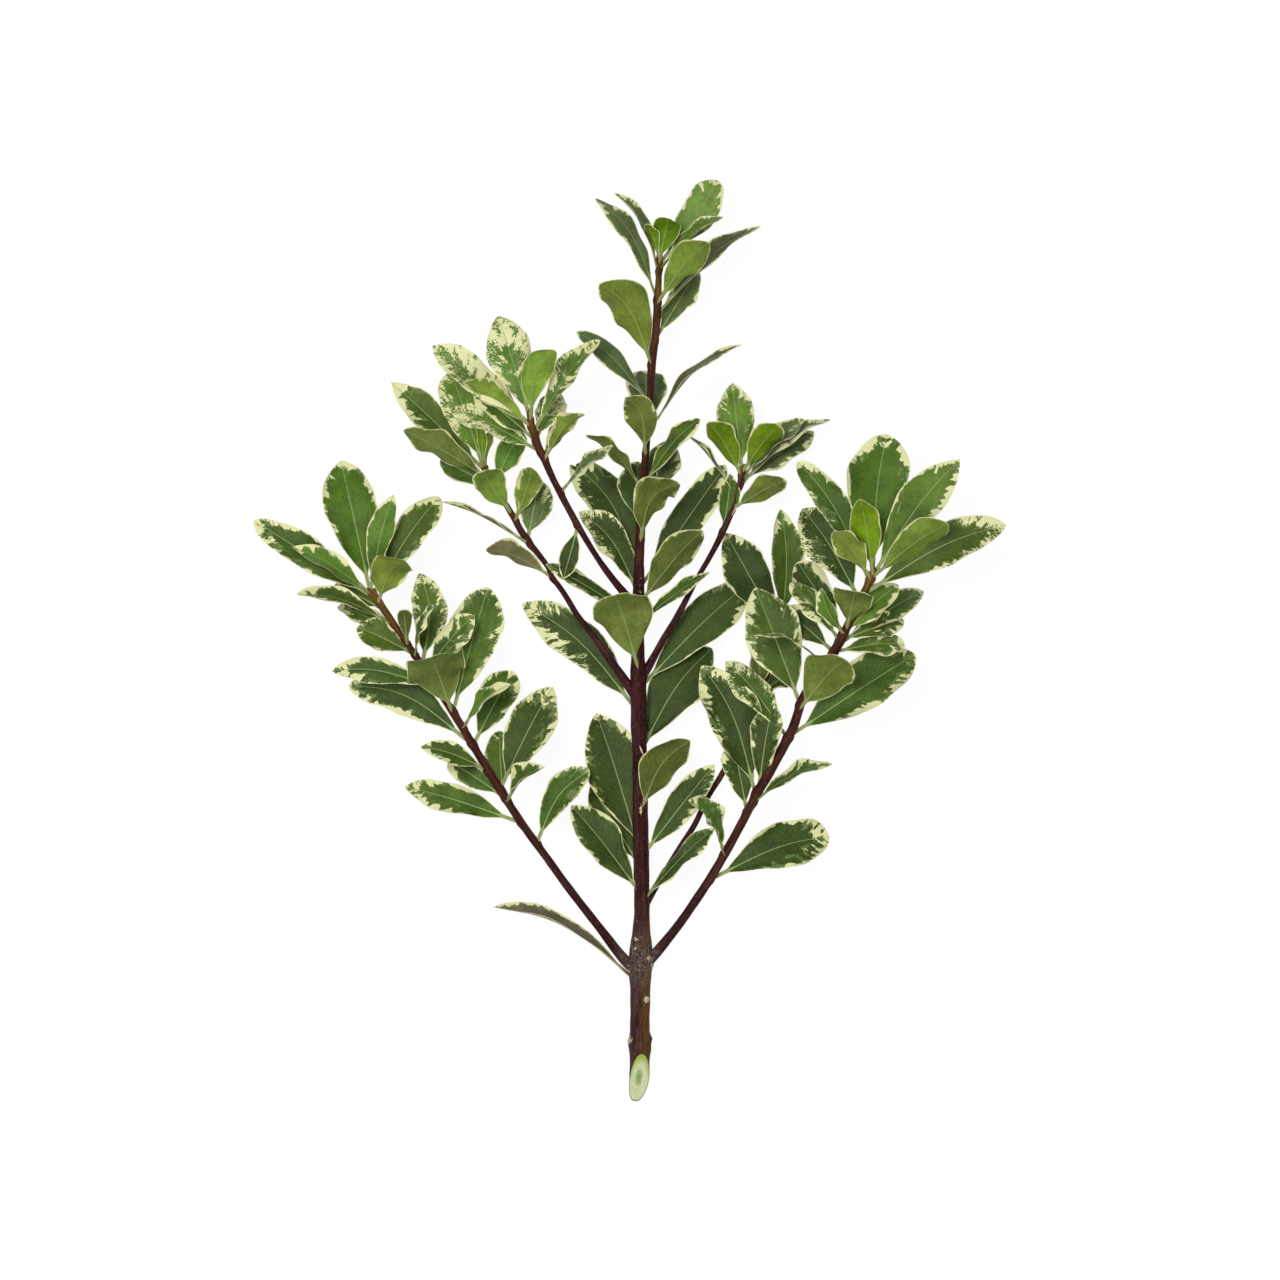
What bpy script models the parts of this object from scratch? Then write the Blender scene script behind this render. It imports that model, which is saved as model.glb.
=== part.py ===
"""Cut stem of variegated pittosporum, as sold for vases, lying on a level surface.

Sizes are in millimetres until they reach a mesh. In the branch's own frame x runs across it,
y from the cut foot towards the tip, and z out of its upper face, with the main stem at height
zero. The whole branch is then tipped until it rests on its lowest leaves, and moved so that
the middle of its plan lies over the origin and its lowest point at height zero.
"""
import math
from collections import namedtuple

import bmesh
import bpy
import numpy as np
from mathutils import Matrix, Vector

MM = 0.001
FIT_GAP = 0.3

# How the branch lies: its tip end is raised by the leaves under it.
LIE_TILT = 3.0
LIE_ROLL = 0.0

# The slanting cut at the foot, turned a little to one side, and the knife that makes it.
CUT_LENGTH = 20.0
CUT_DEPTH = 8.6
CUT_TURN = 25.0
KNIFE_SIZE = 60.0

# Sides round a limb, millimetres between the rings along it, and how its mesh is finished.
STEM_ROUNDNESS = 4
BOUGH_ROUNDNESS = 3
TWIG_ROUNDNESS = 1
STEM_RING_STEP = 14.0
TWIG_RING_STEP = 9.0
FINE_STEPS = 24
SHARP_EDGE = 40.0
WELD_DISTANCE = 0.00001

# A blade: a narrow stalk, then a spoon-shaped outline, widest past its middle.
BLADE_THICKNESS = 0.8
STALK_SHARE = 0.12
STALK_WIDTH = 1.8
BASE_TAPER = 1.05
TIP_ROUNDING = 0.6
TIP_SHARE = 0.985
BOW_SKEW = 1.25
BLADE_STATIONS = (0.0, STALK_SHARE, 0.3, 0.5, 0.7, 0.88, 1.0)

Leaf = namedtuple("Leaf", "root tip_x tip_y rise width roll bow fold sweep", defaults=(0.10, 0.2, 0.0))
Shoot = namedtuple("Shoot", "route bare_to leaves")


# Main stem, from its foot to the fork where the leader takes over: x, y, height, radius.
STEM_ROUTE = [
    (-1.0, 0, 0, 4.6), (0.2, 12, 0, 4.5), (0.4, 35, 0, 4.4), (0.5, 51, 0, 4.5), (0.6, 62, 0, 5.2),
    (0.9, 72, 0, 4.9), (1.0, 78.5, 0, 3.9), (1.2, 90, 0, 3.5), (0.6, 125, 0, 3.6),
    (0.0, 160, 0, 3.5), (-0.4, 192, 0, 3.6), (-0.6, 205, 0, 2.9), (-0.2, 233, 0, 2.6),
    (0.0, 243, 0, 2.2),
]

# Boughs and the leader, from inside the main stem to the tip: x, y, height, radius.
LEADER_ROUTE = [
    (-0.2, 231, 0, 2.2), (0.0, 243, 0, 2.2), (0.6, 257, 0, 2.1), (1.9, 280, 0.5, 1.9),
    (3.2, 296, 0.5, 1.6), (4.6, 314, 0.5, 1.6), (5.9, 335, 0.5, 1.9), (7.6, 350, 0.5, 1.8),
    (8.4, 363, 1.0, 1.7), (8.9, 374, 1.2, 1.3), (9.2, 386, 1.5, 1.0),
]
LOW_LEFT_ROUTE = [
    (0.3, 59, 0, 2.9), (-7, 65.3, 0.3, 2.4), (-18.2, 79.7, 0.8, 1.9), (-32.7, 98.6, 1.7, 1.8),
    (-40.8, 110, 2.3, 1.75), (-51.7, 125.1, 3.5, 1.8), (-62.5, 141.7, 4.6, 1.8), (-72, 157.5, 5.7, 1.8),
    (-81.4, 173.3, 6.6, 1.8), (-92, 190, 7.5, 1.6), (-105.4, 210, 8.1, 1.4),
    (-116.3, 226, 8.8, 1.6), (-122.5, 233, 9.0, 1.1),
]
LOW_RIGHT_ROUTE = [
    (0.5, 60, 0.5, 2.9), (9.4, 70, 1.0, 2.3), (18.4, 81.5, 2.1, 2.0), (24.9, 91, 3.2, 2.0),
    (31.7, 101.5, 4.9, 2.0), (38.4, 113, 7.1, 2.0), (47.5, 130, 10.1, 1.9), (52.5, 140, 11.9, 2.0),
    (58.3, 150.5, 13.8, 2.3), (68.6, 170, 17.0, 2.1), (74.3, 186, 19.2, 1.9),
    (87.5, 206, 21.5, 1.9), (95.6, 222, 23.5, 1.8), (102.4, 236, 25.2, 1.6), (105.5, 243, 26.0, 1.1),
]
THIN_RIGHT_ROUTE = [
    (1.4, 87, -0.8, 1.8), (8, 98.5, -1.8, 1.5), (14.5, 109, -2.4, 1.3), (19.5, 117, -2.8, 1.3),
    (25.3, 126, -3.1, 1.3), (31, 138, -3.6, 1.3), (38.8, 151, -4.2, 1.3), (48, 172, -5.5, 1.3),
    (57, 191, -6.8, 1.3), (65, 217, -8.0, 1.0),
]
MID_LEFT_ROUTE = [
    (0, 181, 0, 2.4), (-7.1, 192, -0.3, 2.0), (-12.8, 200, -0.8, 1.7), (-19.7, 210, -1.7, 1.6),
    (-27.6, 220, -2.9, 1.3), (-33.8, 230, -4.3, 1.3), (-39.5, 238, -5.2, 1.2),
    (-41.8, 243, -5.5, 1.2), (-51.8, 256, -6.4, 1.5), (-57.8, 266.3, -7.0, 1.4), (-71, 288, -7.7, 1.0),
]
MID_RIGHT_ROUTE = [
    (0, 190, 0, 2.2), (5.8, 200, -0.4, 1.8), (11.3, 210, -0.9, 1.5), (17.4, 220, -1.6, 1.5),
    (25.4, 235.6, -2.8, 1.2), (31.1, 245.3, -3.5, 1.2), (36.3, 255, -4.3, 1.4),
    (41, 265.4, -4.8, 1.4), (44.6, 277, -5.1, 1.3), (47.5, 288.5, -4.7, 1.0),
]
HIGH_LEFT_ROUTE = [
    (-0.5, 224, 0, 2.1), (-6.8, 230.5, 0.9, 1.8), (-14.3, 240, 2.7, 1.5), (-21, 250, 4.8, 1.3),
    (-29.1, 264, 7.9, 1.5), (-37.5, 280, 11.6, 1.5), (-42, 290, 13.7, 1.6), (-46.3, 300, 16.0, 1.7),
    (-49.5, 313, 18.6, 1.1),
]

# Each leaf: root (y of its place on the shoot), tip x and y, rise of the tip above the root,
# width and roll. Roll 0 turns the upper side up, 180 turns it down. Bow lifts the middle out
# of the upper side, fold raises both halves like a shallow V, and sweep curves the leaf to
# the right, as seen from its upper side.
LEADER_LEAVES = [
    Leaf(254, 18, 281, 20, 17, -155, 0.08, 0.2, 0.15),
    Leaf(258, -1, 289, -14, 18, 0),
    Leaf(277, -23.5, 302, 6, 12, 120),
    Leaf(270, 13, 299, -16, 17, -10, 0.04, 0.2, 0.05),
    Leaf(279, 27, 309, 2, 11, -40, 0.08),
    Leaf(293, -6, 319, 20, 15, 170, 0.10, 0.2, -0.10),
    Leaf(303, 45, 343, 8, 10, -72, 0.09),
    Leaf(303, 3, 330, -22, 19, 0),
    Leaf(316, -28, 348, 0, 12, 40, 0.09),
    Leaf(333, -17.5, 370, 14, 19, 165, 0.10, 0.2, -0.08),
    Leaf(344, 26, 376, -14, 13, -20, 0.05, 0.2, 0.03),
    Leaf(356, 54, 396, -4, 13, -58, 0.07),
    Leaf(361, 31, 387.5, 20, 15, -165, 0.10, 0.2, 0.03),
    Leaf(362, -20, 407.5, -6, 12, 45, 0.14),
    Leaf(375, -11, 410, 0, 9, 60, 0.12),
    Leaf(379, 13, 399, 14, 12.5, 180, 0.18, 0.3),
    Leaf(381, 3, 396, 10, 6, 150),
    Leaf(378, 35, 416, -10, 17, -15, 0.06, 0.2, 0.05),
    Leaf(376, 37, 400, 5, 10, -60, 0.06),
]
HIGH_LEFT_LEAVES = [
    Leaf(308, -63, 355, -6, 20, 5, 0.05),
    Leaf(306, -92, 342, -4, 16, 20, 0.05),
    Leaf(305, -78, 326, 12, 12, 150, 0.12),
    Leaf(299, -74, 321, -8, 12, 15),
    Leaf(294, -85, 314, -14, 14, 35, 0.05),
    Leaf(309, -37, 340, 14, 14, -170, 0.10, 0.2, 0.12),
    Leaf(303, -17, 344, 0, 14, -45, 0.08),
    Leaf(300, -35, 320, -16, 13, -15),
    Leaf(291, -25, 312, 14, 11, -140, 0.12, 0.4),
    Leaf(292, -33, 306, -12, 8, -20),
    Leaf(276, -11.5, 297, 4, 10, -60, 0.05),
    Leaf(261, -34, 237, -1, 9, 0, 0.05),
]
MID_LEFT_LEAVES = [
    Leaf(237, -69, 250, 6, 12, 140, 0.12),
    Leaf(254, -45, 281, -8, 17, 0),
    Leaf(263, -48, 287, 10, 12, 170),
    Leaf(252, -89, 272, 3, 7, 85, 0.04),
    Leaf(266, -70, 286, 13, 15, 170, 0.12, 0.2, 0.05),
    Leaf(279, -53, 303, -6, 13.5, -20, 0.05),
    Leaf(281, -106, 303.5, 9, 14, 150, 0.05),
    Leaf(277, -90, 290, -10, 12, 10),
    Leaf(285, -112, 325, -10, 15, 15, 0.03),
    Leaf(287, -85, 330, -2, 20, 5),
    Leaf(287, -72, 306, 9, 5, 160),
    Leaf(286, -66, 304, 5, 5, -150),
]
MID_RIGHT_LEAVES = [
    Leaf(258, 41, 284, -3, 10, 10),
    Leaf(268, 66, 281, 10, 13, -150, 0.08),
    Leaf(274, 20, 304, -2, 6, 75, 0.04),
    Leaf(284, 42, 325, -8, 17, 0, 0.08),
    Leaf(283, 31, 307.5, 8, 13, 155),
    Leaf(285, 63, 306, 12, 14, -160, 0.10),
    Leaf(281, 75, 308, -5, 13, -45),
    Leaf(278, 86, 309, -8, 12, -60),
]
THIN_RIGHT_LEAVES = [
    Leaf(136, 27, 143, -2, 4, 10),
    Leaf(186, 52, 208, 3, 11, 150),
    Leaf(184, 72, 195, -4, 10, -30),
    Leaf(213, 39, 257, -6, 20, 0),
    Leaf(215, 63.5, 268, -2, 15, 10, 0.05, 0.2, 0.04),
]
LOW_RIGHT_LEAVES = [
    Leaf(101.5, 86, 119.5, -15, 21, -10, 0.06, 0.2, -0.05),
    Leaf(113, 22.5, 138.5, 12, 13, 55, 0.05, 0.5, 0.12),
    Leaf(132, 42, 163, -6, 14, 5),
    Leaf(140, 28, 198, -6, 24, 8, 0.06, 0.2, 0.06),
    Leaf(142, 60, 181, 0, 14, -10),
    Leaf(166, 39, 200, -14, 15, 20),
    Leaf(137, 86.5, 154.5, 8, 11, -60),
    Leaf(166.5, 124, 203, -8, 24, -15, 0.05),
    Leaf(181, 52, 233.5, -6, 25, 5, 0.05),
    Leaf(200, 51.5, 214, 12, 9, 88),
    Leaf(179, 92, 203, 22, 23, -170, 0.15),
    Leaf(205, 119, 208, -6, 12, -30),
    Leaf(210, 118.5, 218.5, -12, 12, -20),
    Leaf(213, 116, 235, -4, 14, -20),
    Leaf(208, 128.5, 231.5, -24, 12, -15),
    Leaf(210, 67.5, 236, 4, 13, 40, 0.05),
    Leaf(213, 81, 234, 10, 10, -40),
    Leaf(216, 96, 233, 18, 18, 180, 0.15),
    Leaf(231, 163.5, 262, 0, 19, -10, 0.05, 0.2, -0.05),
    Leaf(238, 137, 263, 16, 15, -160),
    Leaf(238, 143, 291, -2, 20, -12, 0.05, 0.2, -0.03),
    Leaf(240, 111, 302, -12, 27, -3, 0.05, 0.2, -0.03),
    Leaf(240, 98, 274.5, 14, 14, 170),
    Leaf(238, 86, 260, 16, 13, 155),
    Leaf(237, 71, 290, -8, 14, 15, 0.05, 0.2, 0.04),
    Leaf(228, 73, 269, -10, 21.5, 5, 0.05, 0.2, 0.03),
]
LOW_LEFT_LEAVES = [
    Leaf(117.5, -22, 151, 6, 14, -15, 0.06, 0.2, -0.10),
    Leaf(127, -106, 142, -16, 14, 15),
    Leaf(137, -43, 153.5, 14, 12, -60, 0.10, 0.5),
    Leaf(140, -63, 168, -10, 14, -5),
    Leaf(142, -39, 188, -6, 21, -10),
    Leaf(138, -86, 154, -10, 12, 15),
    Leaf(151, -98, 162, 4, 11, 30),
    Leaf(163, -131, 188.5, -8, 18, 8, 0.0, 0.2, 0.11),
    Leaf(162, -57, 195, -8, 17, -10, 0.05),
    Leaf(170, -57.5, 190.5, 12, 11, -60, 0.10, 0.5),
    Leaf(178, -93, 204, 24, 28, 180, 0.15),
    Leaf(188, -138, 196, 0, 12, 15, 0.05, 0.2, 0.06),
    Leaf(177, -68, 233, -6, 24, -8, 0.04),
    Leaf(196, -74.5, 221, 4, 13, -20, 0.05),
    Leaf(198, -99, 239.5, -6, 16, 0, 0.05, 0.2, 0.10),
    Leaf(203, -92, 226, 12, 8, -60),
    Leaf(203, -127, 215, -3, 14, 20),
    Leaf(208, -105.5, 224, 9, 7, 180),
    Leaf(217, -153.5, 230, 3, 11, 55),
    Leaf(223, -137, 234, -16, 12, 10),
    Leaf(210, -136, 224, -12, 10, 30),
    Leaf(228, -173, 263, -2, 15, 12, 0.04),
    Leaf(230, -155, 252, 8, 12, 45, 0.06),
    Leaf(231, -134, 290, -8, 24, 3),
    Leaf(231, -110, 275, 2, 12, -15),
    Leaf(230, -90, 274, -4, 16, -15),
    Leaf(227, -105, 246, 14, 20, -150, 0.12, 0.2, 0.05),
]

SHOOTS = {
    "leader": Shoot(LEADER_ROUTE, 243.0, LEADER_LEAVES),
    "low_left": Shoot(LOW_LEFT_ROUTE, 110.0, LOW_LEFT_LEAVES),
    "low_right": Shoot(LOW_RIGHT_ROUTE, 98.0, LOW_RIGHT_LEAVES),
    "thin_right": Shoot(THIN_RIGHT_ROUTE, 134.0, THIN_RIGHT_LEAVES),
    "mid_left": Shoot(MID_LEFT_ROUTE, 234.0, MID_LEFT_LEAVES),
    "mid_right": Shoot(MID_RIGHT_ROUTE, 250.0, MID_RIGHT_LEAVES),
    "high_left": Shoot(HIGH_LEFT_ROUTE, 258.0, HIGH_LEFT_LEAVES),
}

# Leaves that sit straight on the main stem, from the foot upwards.
STEM_LEAVES = [
    Leaf(54, -65, 89.5, 2, 10, 66, 0.11),
    Leaf(91, 34, 125, 8, 11, -45, 0.04),
    Leaf(94, -30, 135, 8, 18, 20, 0.04, 0.4),
    Leaf(106, -22, 143, -8, 16, 5, 0.04),
    Leaf(112, -19, 176, -4, 26, 8, 0.05),
    Leaf(111, 34, 153, 0, 14.5, -10, 0.05),
    Leaf(132, 23, 165, 16, 18, -165, 0.06, 0.15, 0.09),
    Leaf(158, 33, 205, -12, 23, -10, 0.05, 0.2, -0.05),
    Leaf(177, -53, 225, -16, 20, 8, -0.03, 0.1, 0.07),
    Leaf(187, 50, 235, -13, 20, -8, 0.0, 0.15, -0.02),
    Leaf(197, -11, 231, 22, 26, 175, 0.15),
    Leaf(225, 28, 260, 14, 17, -155, 0.04),
    Leaf(217, 32, 240, 4, 9, -50, 0.03),
    Leaf(219, -42, 243.5, 1, 9, 35, 0.03),
    Leaf(227, -31, 289, -20, 20, 10, 0.0, 0.2, 0.12),
    Leaf(230, -27, 267, -4, 16, 25, 0.0, 0.2, 0.10),
    Leaf(232, 39, 288, -13, 17, -20, 0.0),
]


def clear_scene():
    """Remove what a new file starts with."""
    for item in list(bpy.data.objects):
        bpy.data.objects.remove(item, do_unlink=True)


def make_collection(name):
    """New collection under the scene's own."""
    collection = bpy.data.collections.new(name)
    bpy.context.scene.collection.children.link(collection)
    return collection


def make_material(name, colour, roughness):
    """Plain Principled material."""
    material = bpy.data.materials.new(name)
    material.use_nodes = True
    shader = material.node_tree.nodes["Principled BSDF"]
    shader.inputs["Base Color"].default_value = (*colour, 1.0)
    shader.inputs["Roughness"].default_value = roughness
    shader.inputs["Metallic"].default_value = 0.0
    material.diffuse_color = (*colour, 1.0)
    return material


def smooth_route(points):
    """Dense line through the points: a Catmull-Rom cubic between each pair of neighbours."""
    knots = np.array(points, dtype=float)
    before = 2.0 * knots[0] - knots[1]
    after = 2.0 * knots[-1] - knots[-2]
    padded = np.vstack([before, knots, after])
    t = np.linspace(0.0, 1.0, FINE_STEPS, endpoint=False)[:, None]
    pieces = []
    for a, b, c, d in zip(padded, padded[1:], padded[2:], padded[3:]):
        pieces.append(0.5 * (2.0 * b + (c - a) * t + (2.0 * a - 5.0 * b + 4.0 * c - d) * t ** 2
                             + (3.0 * b - a - 3.0 * c + d) * t ** 3))
    return np.vstack(pieces + [knots[-1:]])


def on_route(route, y):
    """x, y, z and radius of the route where it passes y."""
    return np.array([np.interp(y, route[:, 1], route[:, k]) for k in range(4)])


def stretch_of_route(route, y_from, y_to, step):
    """Evenly spaced rings of the route between two values of y."""
    count = max(3, round((y_to - y_from) / step) + 1)
    return np.array([on_route(route, y) for y in np.linspace(y_from, y_to, count)])


def mesh_of(item):
    """The object's shape with its modifiers or curve settings worked out, as a mesh."""
    evaluated = item.evaluated_get(bpy.context.evaluated_depsgraph_get())
    return bpy.data.meshes.new_from_object(evaluated)


def weld(mesh):
    """Join points that lie together, which closes the caps of a curve's tube."""
    work = bmesh.new()
    work.from_mesh(mesh)
    bmesh.ops.remove_doubles(work, verts=work.verts, dist=WELD_DISTANCE)
    bmesh.ops.recalc_face_normals(work, faces=work.faces)
    work.to_mesh(mesh)
    work.free()


def tapered_tube(name, rings, roundness, collection):
    """Closed tube along the rings: a bevelled curve with a radius at each point, made a mesh."""
    curve = bpy.data.curves.new(name + "_line", "CURVE")
    curve.dimensions = "3D"
    curve.bevel_depth = MM
    curve.bevel_resolution = roundness
    curve.use_fill_caps = True
    spline = curve.splines.new("POLY")
    spline.points.add(len(rings) - 1)
    for point, (x, y, z, radius) in zip(spline.points, rings):
        point.co = (x * MM, y * MM, z * MM, 1.0)
        point.radius = radius
    line = bpy.data.objects.new(name + "_line", curve)
    collection.objects.link(line)
    mesh = mesh_of(line)
    mesh.name = name
    bpy.data.objects.remove(line, do_unlink=True)
    weld(mesh)
    mesh.shade_smooth()
    mesh.set_sharp_from_angle(angle=math.radians(SHARP_EDGE))
    tube = bpy.data.objects.new(name, mesh)
    collection.objects.link(tube)
    return tube


def as_cutter(item):
    """Mark an object that only shapes others."""
    item.hide_render = True
    item.display_type = "WIRE"
    return item


def cut_with(item, cutter):
    """Boolean difference that stays live on the object."""
    cut = item.modifiers.new("cut_by_" + cutter.name, "BOOLEAN")
    cut.operation = "DIFFERENCE"
    cut.solver = "EXACT"
    cut.object = cutter


def blade_outline(u):
    """Half width of a blade as a share of its widest, at share u of the way to its tip.

    The curve is t to the BASE_TAPER times (1 - t) to the TIP_ROUNDING, scaled to reach 1,
    where t runs from the end of the stalk to the tip.
    """
    t = np.clip((u - STALK_SHARE) / (1.0 - STALK_SHARE), 0.0, TIP_SHARE)
    widest = BASE_TAPER / (BASE_TAPER + TIP_ROUNDING)
    peak = widest ** BASE_TAPER * (1.0 - widest) ** TIP_ROUNDING
    return t ** BASE_TAPER * (1.0 - t) ** TIP_ROUNDING / peak


def leaf_axes(leaf, root):
    """Length of a leaf, and the directions along it, out of its upper side and to its right."""
    run = np.array([leaf.tip_x, leaf.tip_y, root[2] + leaf.rise]) - root
    length = np.linalg.norm(run)
    along = run / length
    level = np.array([0.0, 0.0, 1.0]) - along * along[2]
    level = level / np.linalg.norm(level)
    roll = math.radians(leaf.roll)
    upper = level * math.cos(roll) + np.cross(along, level) * math.sin(roll)
    return length, along, upper, np.cross(along, upper)


def leaf_sheet(leaf, root):
    """Points of the blade, stations by three across: left edge, midrib, right edge.

    The midrib leaves its straight line on a skewed sine, sin(pi u^BOW_SKEW), which bow
    carries out of the upper side and sweep to the right. The blade lies square to the way
    the midrib runs, and each half of it is lifted by the fold.
    """
    length, along, upper, right = leaf_axes(leaf, root)
    u = np.array(BLADE_STATIONS)[:, None]
    swing = np.sin(math.pi * u ** BOW_SKEW)
    slope = math.pi * BOW_SKEW * u ** (BOW_SKEW - 1.0) * np.cos(math.pi * u ** BOW_SKEW)
    midrib = root + length * (u * along + swing * (leaf.bow * upper + leaf.sweep * right))
    across = right - leaf.sweep * slope * along
    across = across / np.linalg.norm(across, axis=1, keepdims=True)
    half = np.maximum(STALK_WIDTH / 2.0, leaf.width / 2.0 * blade_outline(u))
    lift = leaf.fold * half * upper
    return np.stack([midrib - half * across + lift, midrib, midrib + half * across + lift], axis=1)


def blade(name, leaf, root, collection):
    """One leaf as a solid: its open sheet with Solidify."""
    sheet = leaf_sheet(leaf, root)
    rows, columns = sheet.shape[:2]
    faces = [
        (r * columns + c, r * columns + c + 1, (r + 1) * columns + c + 1, (r + 1) * columns + c)
        for r in range(rows - 1) for c in range(columns - 1)
    ]
    mesh = bpy.data.meshes.new(name)
    mesh.from_pydata((sheet.reshape(-1, 3) * MM).tolist(), [], faces)
    leaf_object = bpy.data.objects.new(name, mesh)
    collection.objects.link(leaf_object)
    wall = leaf_object.modifiers.new("thickness", "SOLIDIFY")
    wall.thickness = BLADE_THICKNESS * MM
    wall.offset = 0.0
    return leaf_object


def settle_modifiers(item):
    """Replace the object's mesh by what its modifiers make of it."""
    mesh = mesh_of(item)
    item.modifiers.clear()
    item.data = mesh


def main_stem(collection, cutters):
    """The woody stem from its slanting cut to the fork below the leader."""
    route = smooth_route(STEM_ROUTE)
    rings = stretch_of_route(route, STEM_ROUTE[0][1], STEM_ROUTE[-1][1], STEM_RING_STEP)
    stem = tapered_tube("main_stem", rings, STEM_ROUNDNESS, collection)
    foot_x, foot_y, foot_height, foot_radius = STEM_ROUTE[0]
    low = foot_height + foot_radius - CUT_DEPTH
    slope = math.atan2(CUT_DEPTH, CUT_LENGTH)
    knife_mesh = bpy.data.meshes.new("knife")
    work = bmesh.new()
    bmesh.ops.create_cube(work, size=KNIFE_SIZE * MM)
    work.to_mesh(knife_mesh)
    work.free()
    knife = bpy.data.objects.new("knife", knife_mesh)
    cutters.objects.link(knife)
    lift = KNIFE_SIZE / 2.0
    knife.matrix_world = (
        Matrix.Translation(Vector((foot_x, foot_y, low)) * MM)
        @ Matrix.Rotation(math.radians(CUT_TURN), 4, "Z")
        @ Matrix.Rotation(slope, 4, "X")
        @ Matrix.Translation(Vector((0.0, 0.0, lift)) * MM)
    )
    cut_with(stem, as_cutter(knife))
    return stem, route


def clearance_round(route, cutters):
    """The main stem grown by the fit gap, which trims whatever springs from it."""
    rings = stretch_of_route(route, STEM_ROUTE[0][1], STEM_ROUTE[-1][1], STEM_RING_STEP)
    rings[:, 3] += FIT_GAP
    return as_cutter(tapered_tube("stem_clearance", rings, STEM_ROUNDNESS, cutters))


def bare_bough(name, route, bare_to, trimmer, collection):
    """One tapering limb, from the main stem to where its foliage starts."""
    rings = stretch_of_route(route, route[0, 1], bare_to, STEM_RING_STEP)
    limb = tapered_tube(name, rings, BOUGH_ROUNDNESS, collection)
    cut_with(limb, trimmer)
    return limb


def foliage(name, shoot, route, collection):
    """Leafy end of a shoot: its twig and leaves joined by one union, roots sunk in the twig."""
    start = on_route(route, shoot.bare_to)
    ahead = on_route(route, shoot.bare_to + 1.0)
    climb = 1.0 / np.linalg.norm((ahead - start)[:3])
    rings = stretch_of_route(route, shoot.bare_to + FIT_GAP * climb, route[-1, 1], TWIG_RING_STEP)
    twig = tapered_tube(name, rings, TWIG_ROUNDNESS, collection)
    leaves = make_collection(name + "_leaves")
    for number, leaf in enumerate(shoot.leaves, start=1):
        blade(f"{name}_leaf_{number}", leaf, on_route(route, leaf.root)[:3], leaves)
    joined = twig.modifiers.new("leaves", "BOOLEAN")
    joined.operation = "UNION"
    joined.operand_type = "COLLECTION"
    joined.collection = leaves
    joined.solver = "EXACT"
    settle_modifiers(twig)
    for item in list(leaves.objects):
        bpy.data.objects.remove(item, do_unlink=True)
    bpy.data.collections.remove(leaves)
    return twig


def lay_down(items, cutters):
    """Hang every piece on one empty, tip it as the branch lies, and set its lowest point at 0."""
    branch = bpy.data.objects.new("branch", None)
    bpy.context.scene.collection.objects.link(branch)
    for item in items + cutters:
        item.parent = branch
    branch.rotation_euler = (math.radians(LIE_TILT), math.radians(LIE_ROLL), 0.0)
    turn = np.array(branch.rotation_euler.to_matrix())
    corners = []
    for item in items:
        mesh = mesh_of(item)
        flat = np.empty(len(mesh.vertices) * 3, dtype=np.float32)
        mesh.vertices.foreach_get("co", flat)
        bpy.data.meshes.remove(mesh)
        corners.append(flat.reshape(-1, 3) @ turn.T)
    points = np.vstack(corners)
    low, high = points.min(axis=0), points.max(axis=0)
    branch.location = (-(low[0] + high[0]) / 2.0, -(low[1] + high[1]) / 2.0, -low[2])


def build():
    """Make the whole cut stem."""
    clear_scene()
    parts = make_collection("cut_pittosporum_stem")
    cutters = make_collection("cutters")
    bark = make_material("bark", (0.07, 0.035, 0.032), 0.7)
    leaf_green = make_material("leaf", (0.11, 0.2, 0.06), 0.45)

    stem, stem_route = main_stem(parts, cutters)
    trimmer = clearance_round(stem_route, cutters)
    stem.data.materials.append(bark)
    pieces = [stem]

    for name, shoot in SHOOTS.items():
        route = smooth_route(shoot.route)
        if name != "leader":
            limb = bare_bough("bough_" + name, route, shoot.bare_to, trimmer, parts)
            limb.data.materials.append(bark)
            pieces.append(limb)
        mass = foliage("foliage_" + name, shoot, route, parts)
        mass.data.materials.clear()
        mass.data.materials.append(leaf_green)
        pieces.append(mass)

    for number, leaf in enumerate(STEM_LEAVES, start=1):
        root = on_route(stem_route, leaf.root)[:3]
        single = blade(f"stem_leaf_{number:02d}", leaf, root, parts)
        cut_with(single, trimmer)
        single.data.materials.append(leaf_green)
        pieces.append(single)

    lay_down(pieces, list(cutters.objects))


build()
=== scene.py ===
"""Cut stem of variegated pittosporum lying on a pale surface: its bark, leaves and light.

Lengths are in millimetres in the stem's own frame until they reach a mesh: x runs across the
stem, y from its cut foot towards its tip, and z out of its upper face.
"""
import math
from collections import namedtuple

import bpy
import numpy as np
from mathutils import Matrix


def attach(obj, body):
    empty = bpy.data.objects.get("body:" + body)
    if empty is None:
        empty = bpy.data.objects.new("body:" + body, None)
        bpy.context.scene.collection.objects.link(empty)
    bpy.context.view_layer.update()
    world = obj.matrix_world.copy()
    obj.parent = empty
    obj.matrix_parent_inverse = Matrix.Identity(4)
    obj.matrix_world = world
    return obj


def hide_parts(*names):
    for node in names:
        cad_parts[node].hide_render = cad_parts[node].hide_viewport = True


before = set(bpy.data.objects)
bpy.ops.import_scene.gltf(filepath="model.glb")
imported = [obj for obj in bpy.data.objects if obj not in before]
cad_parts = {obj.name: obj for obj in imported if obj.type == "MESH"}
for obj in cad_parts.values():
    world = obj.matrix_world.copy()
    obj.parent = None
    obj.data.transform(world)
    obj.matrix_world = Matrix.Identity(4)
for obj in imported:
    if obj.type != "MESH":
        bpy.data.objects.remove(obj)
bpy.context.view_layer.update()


# Main stem: a woody axis some nine millimetres thick at the foot, under thin dark bark with
# lengthways grain, small corky pores, a knobbly joint where the two lowest boughs spring, and
# pale scars where leaves have dropped. It is one skin of rings round a smooth line.

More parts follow.
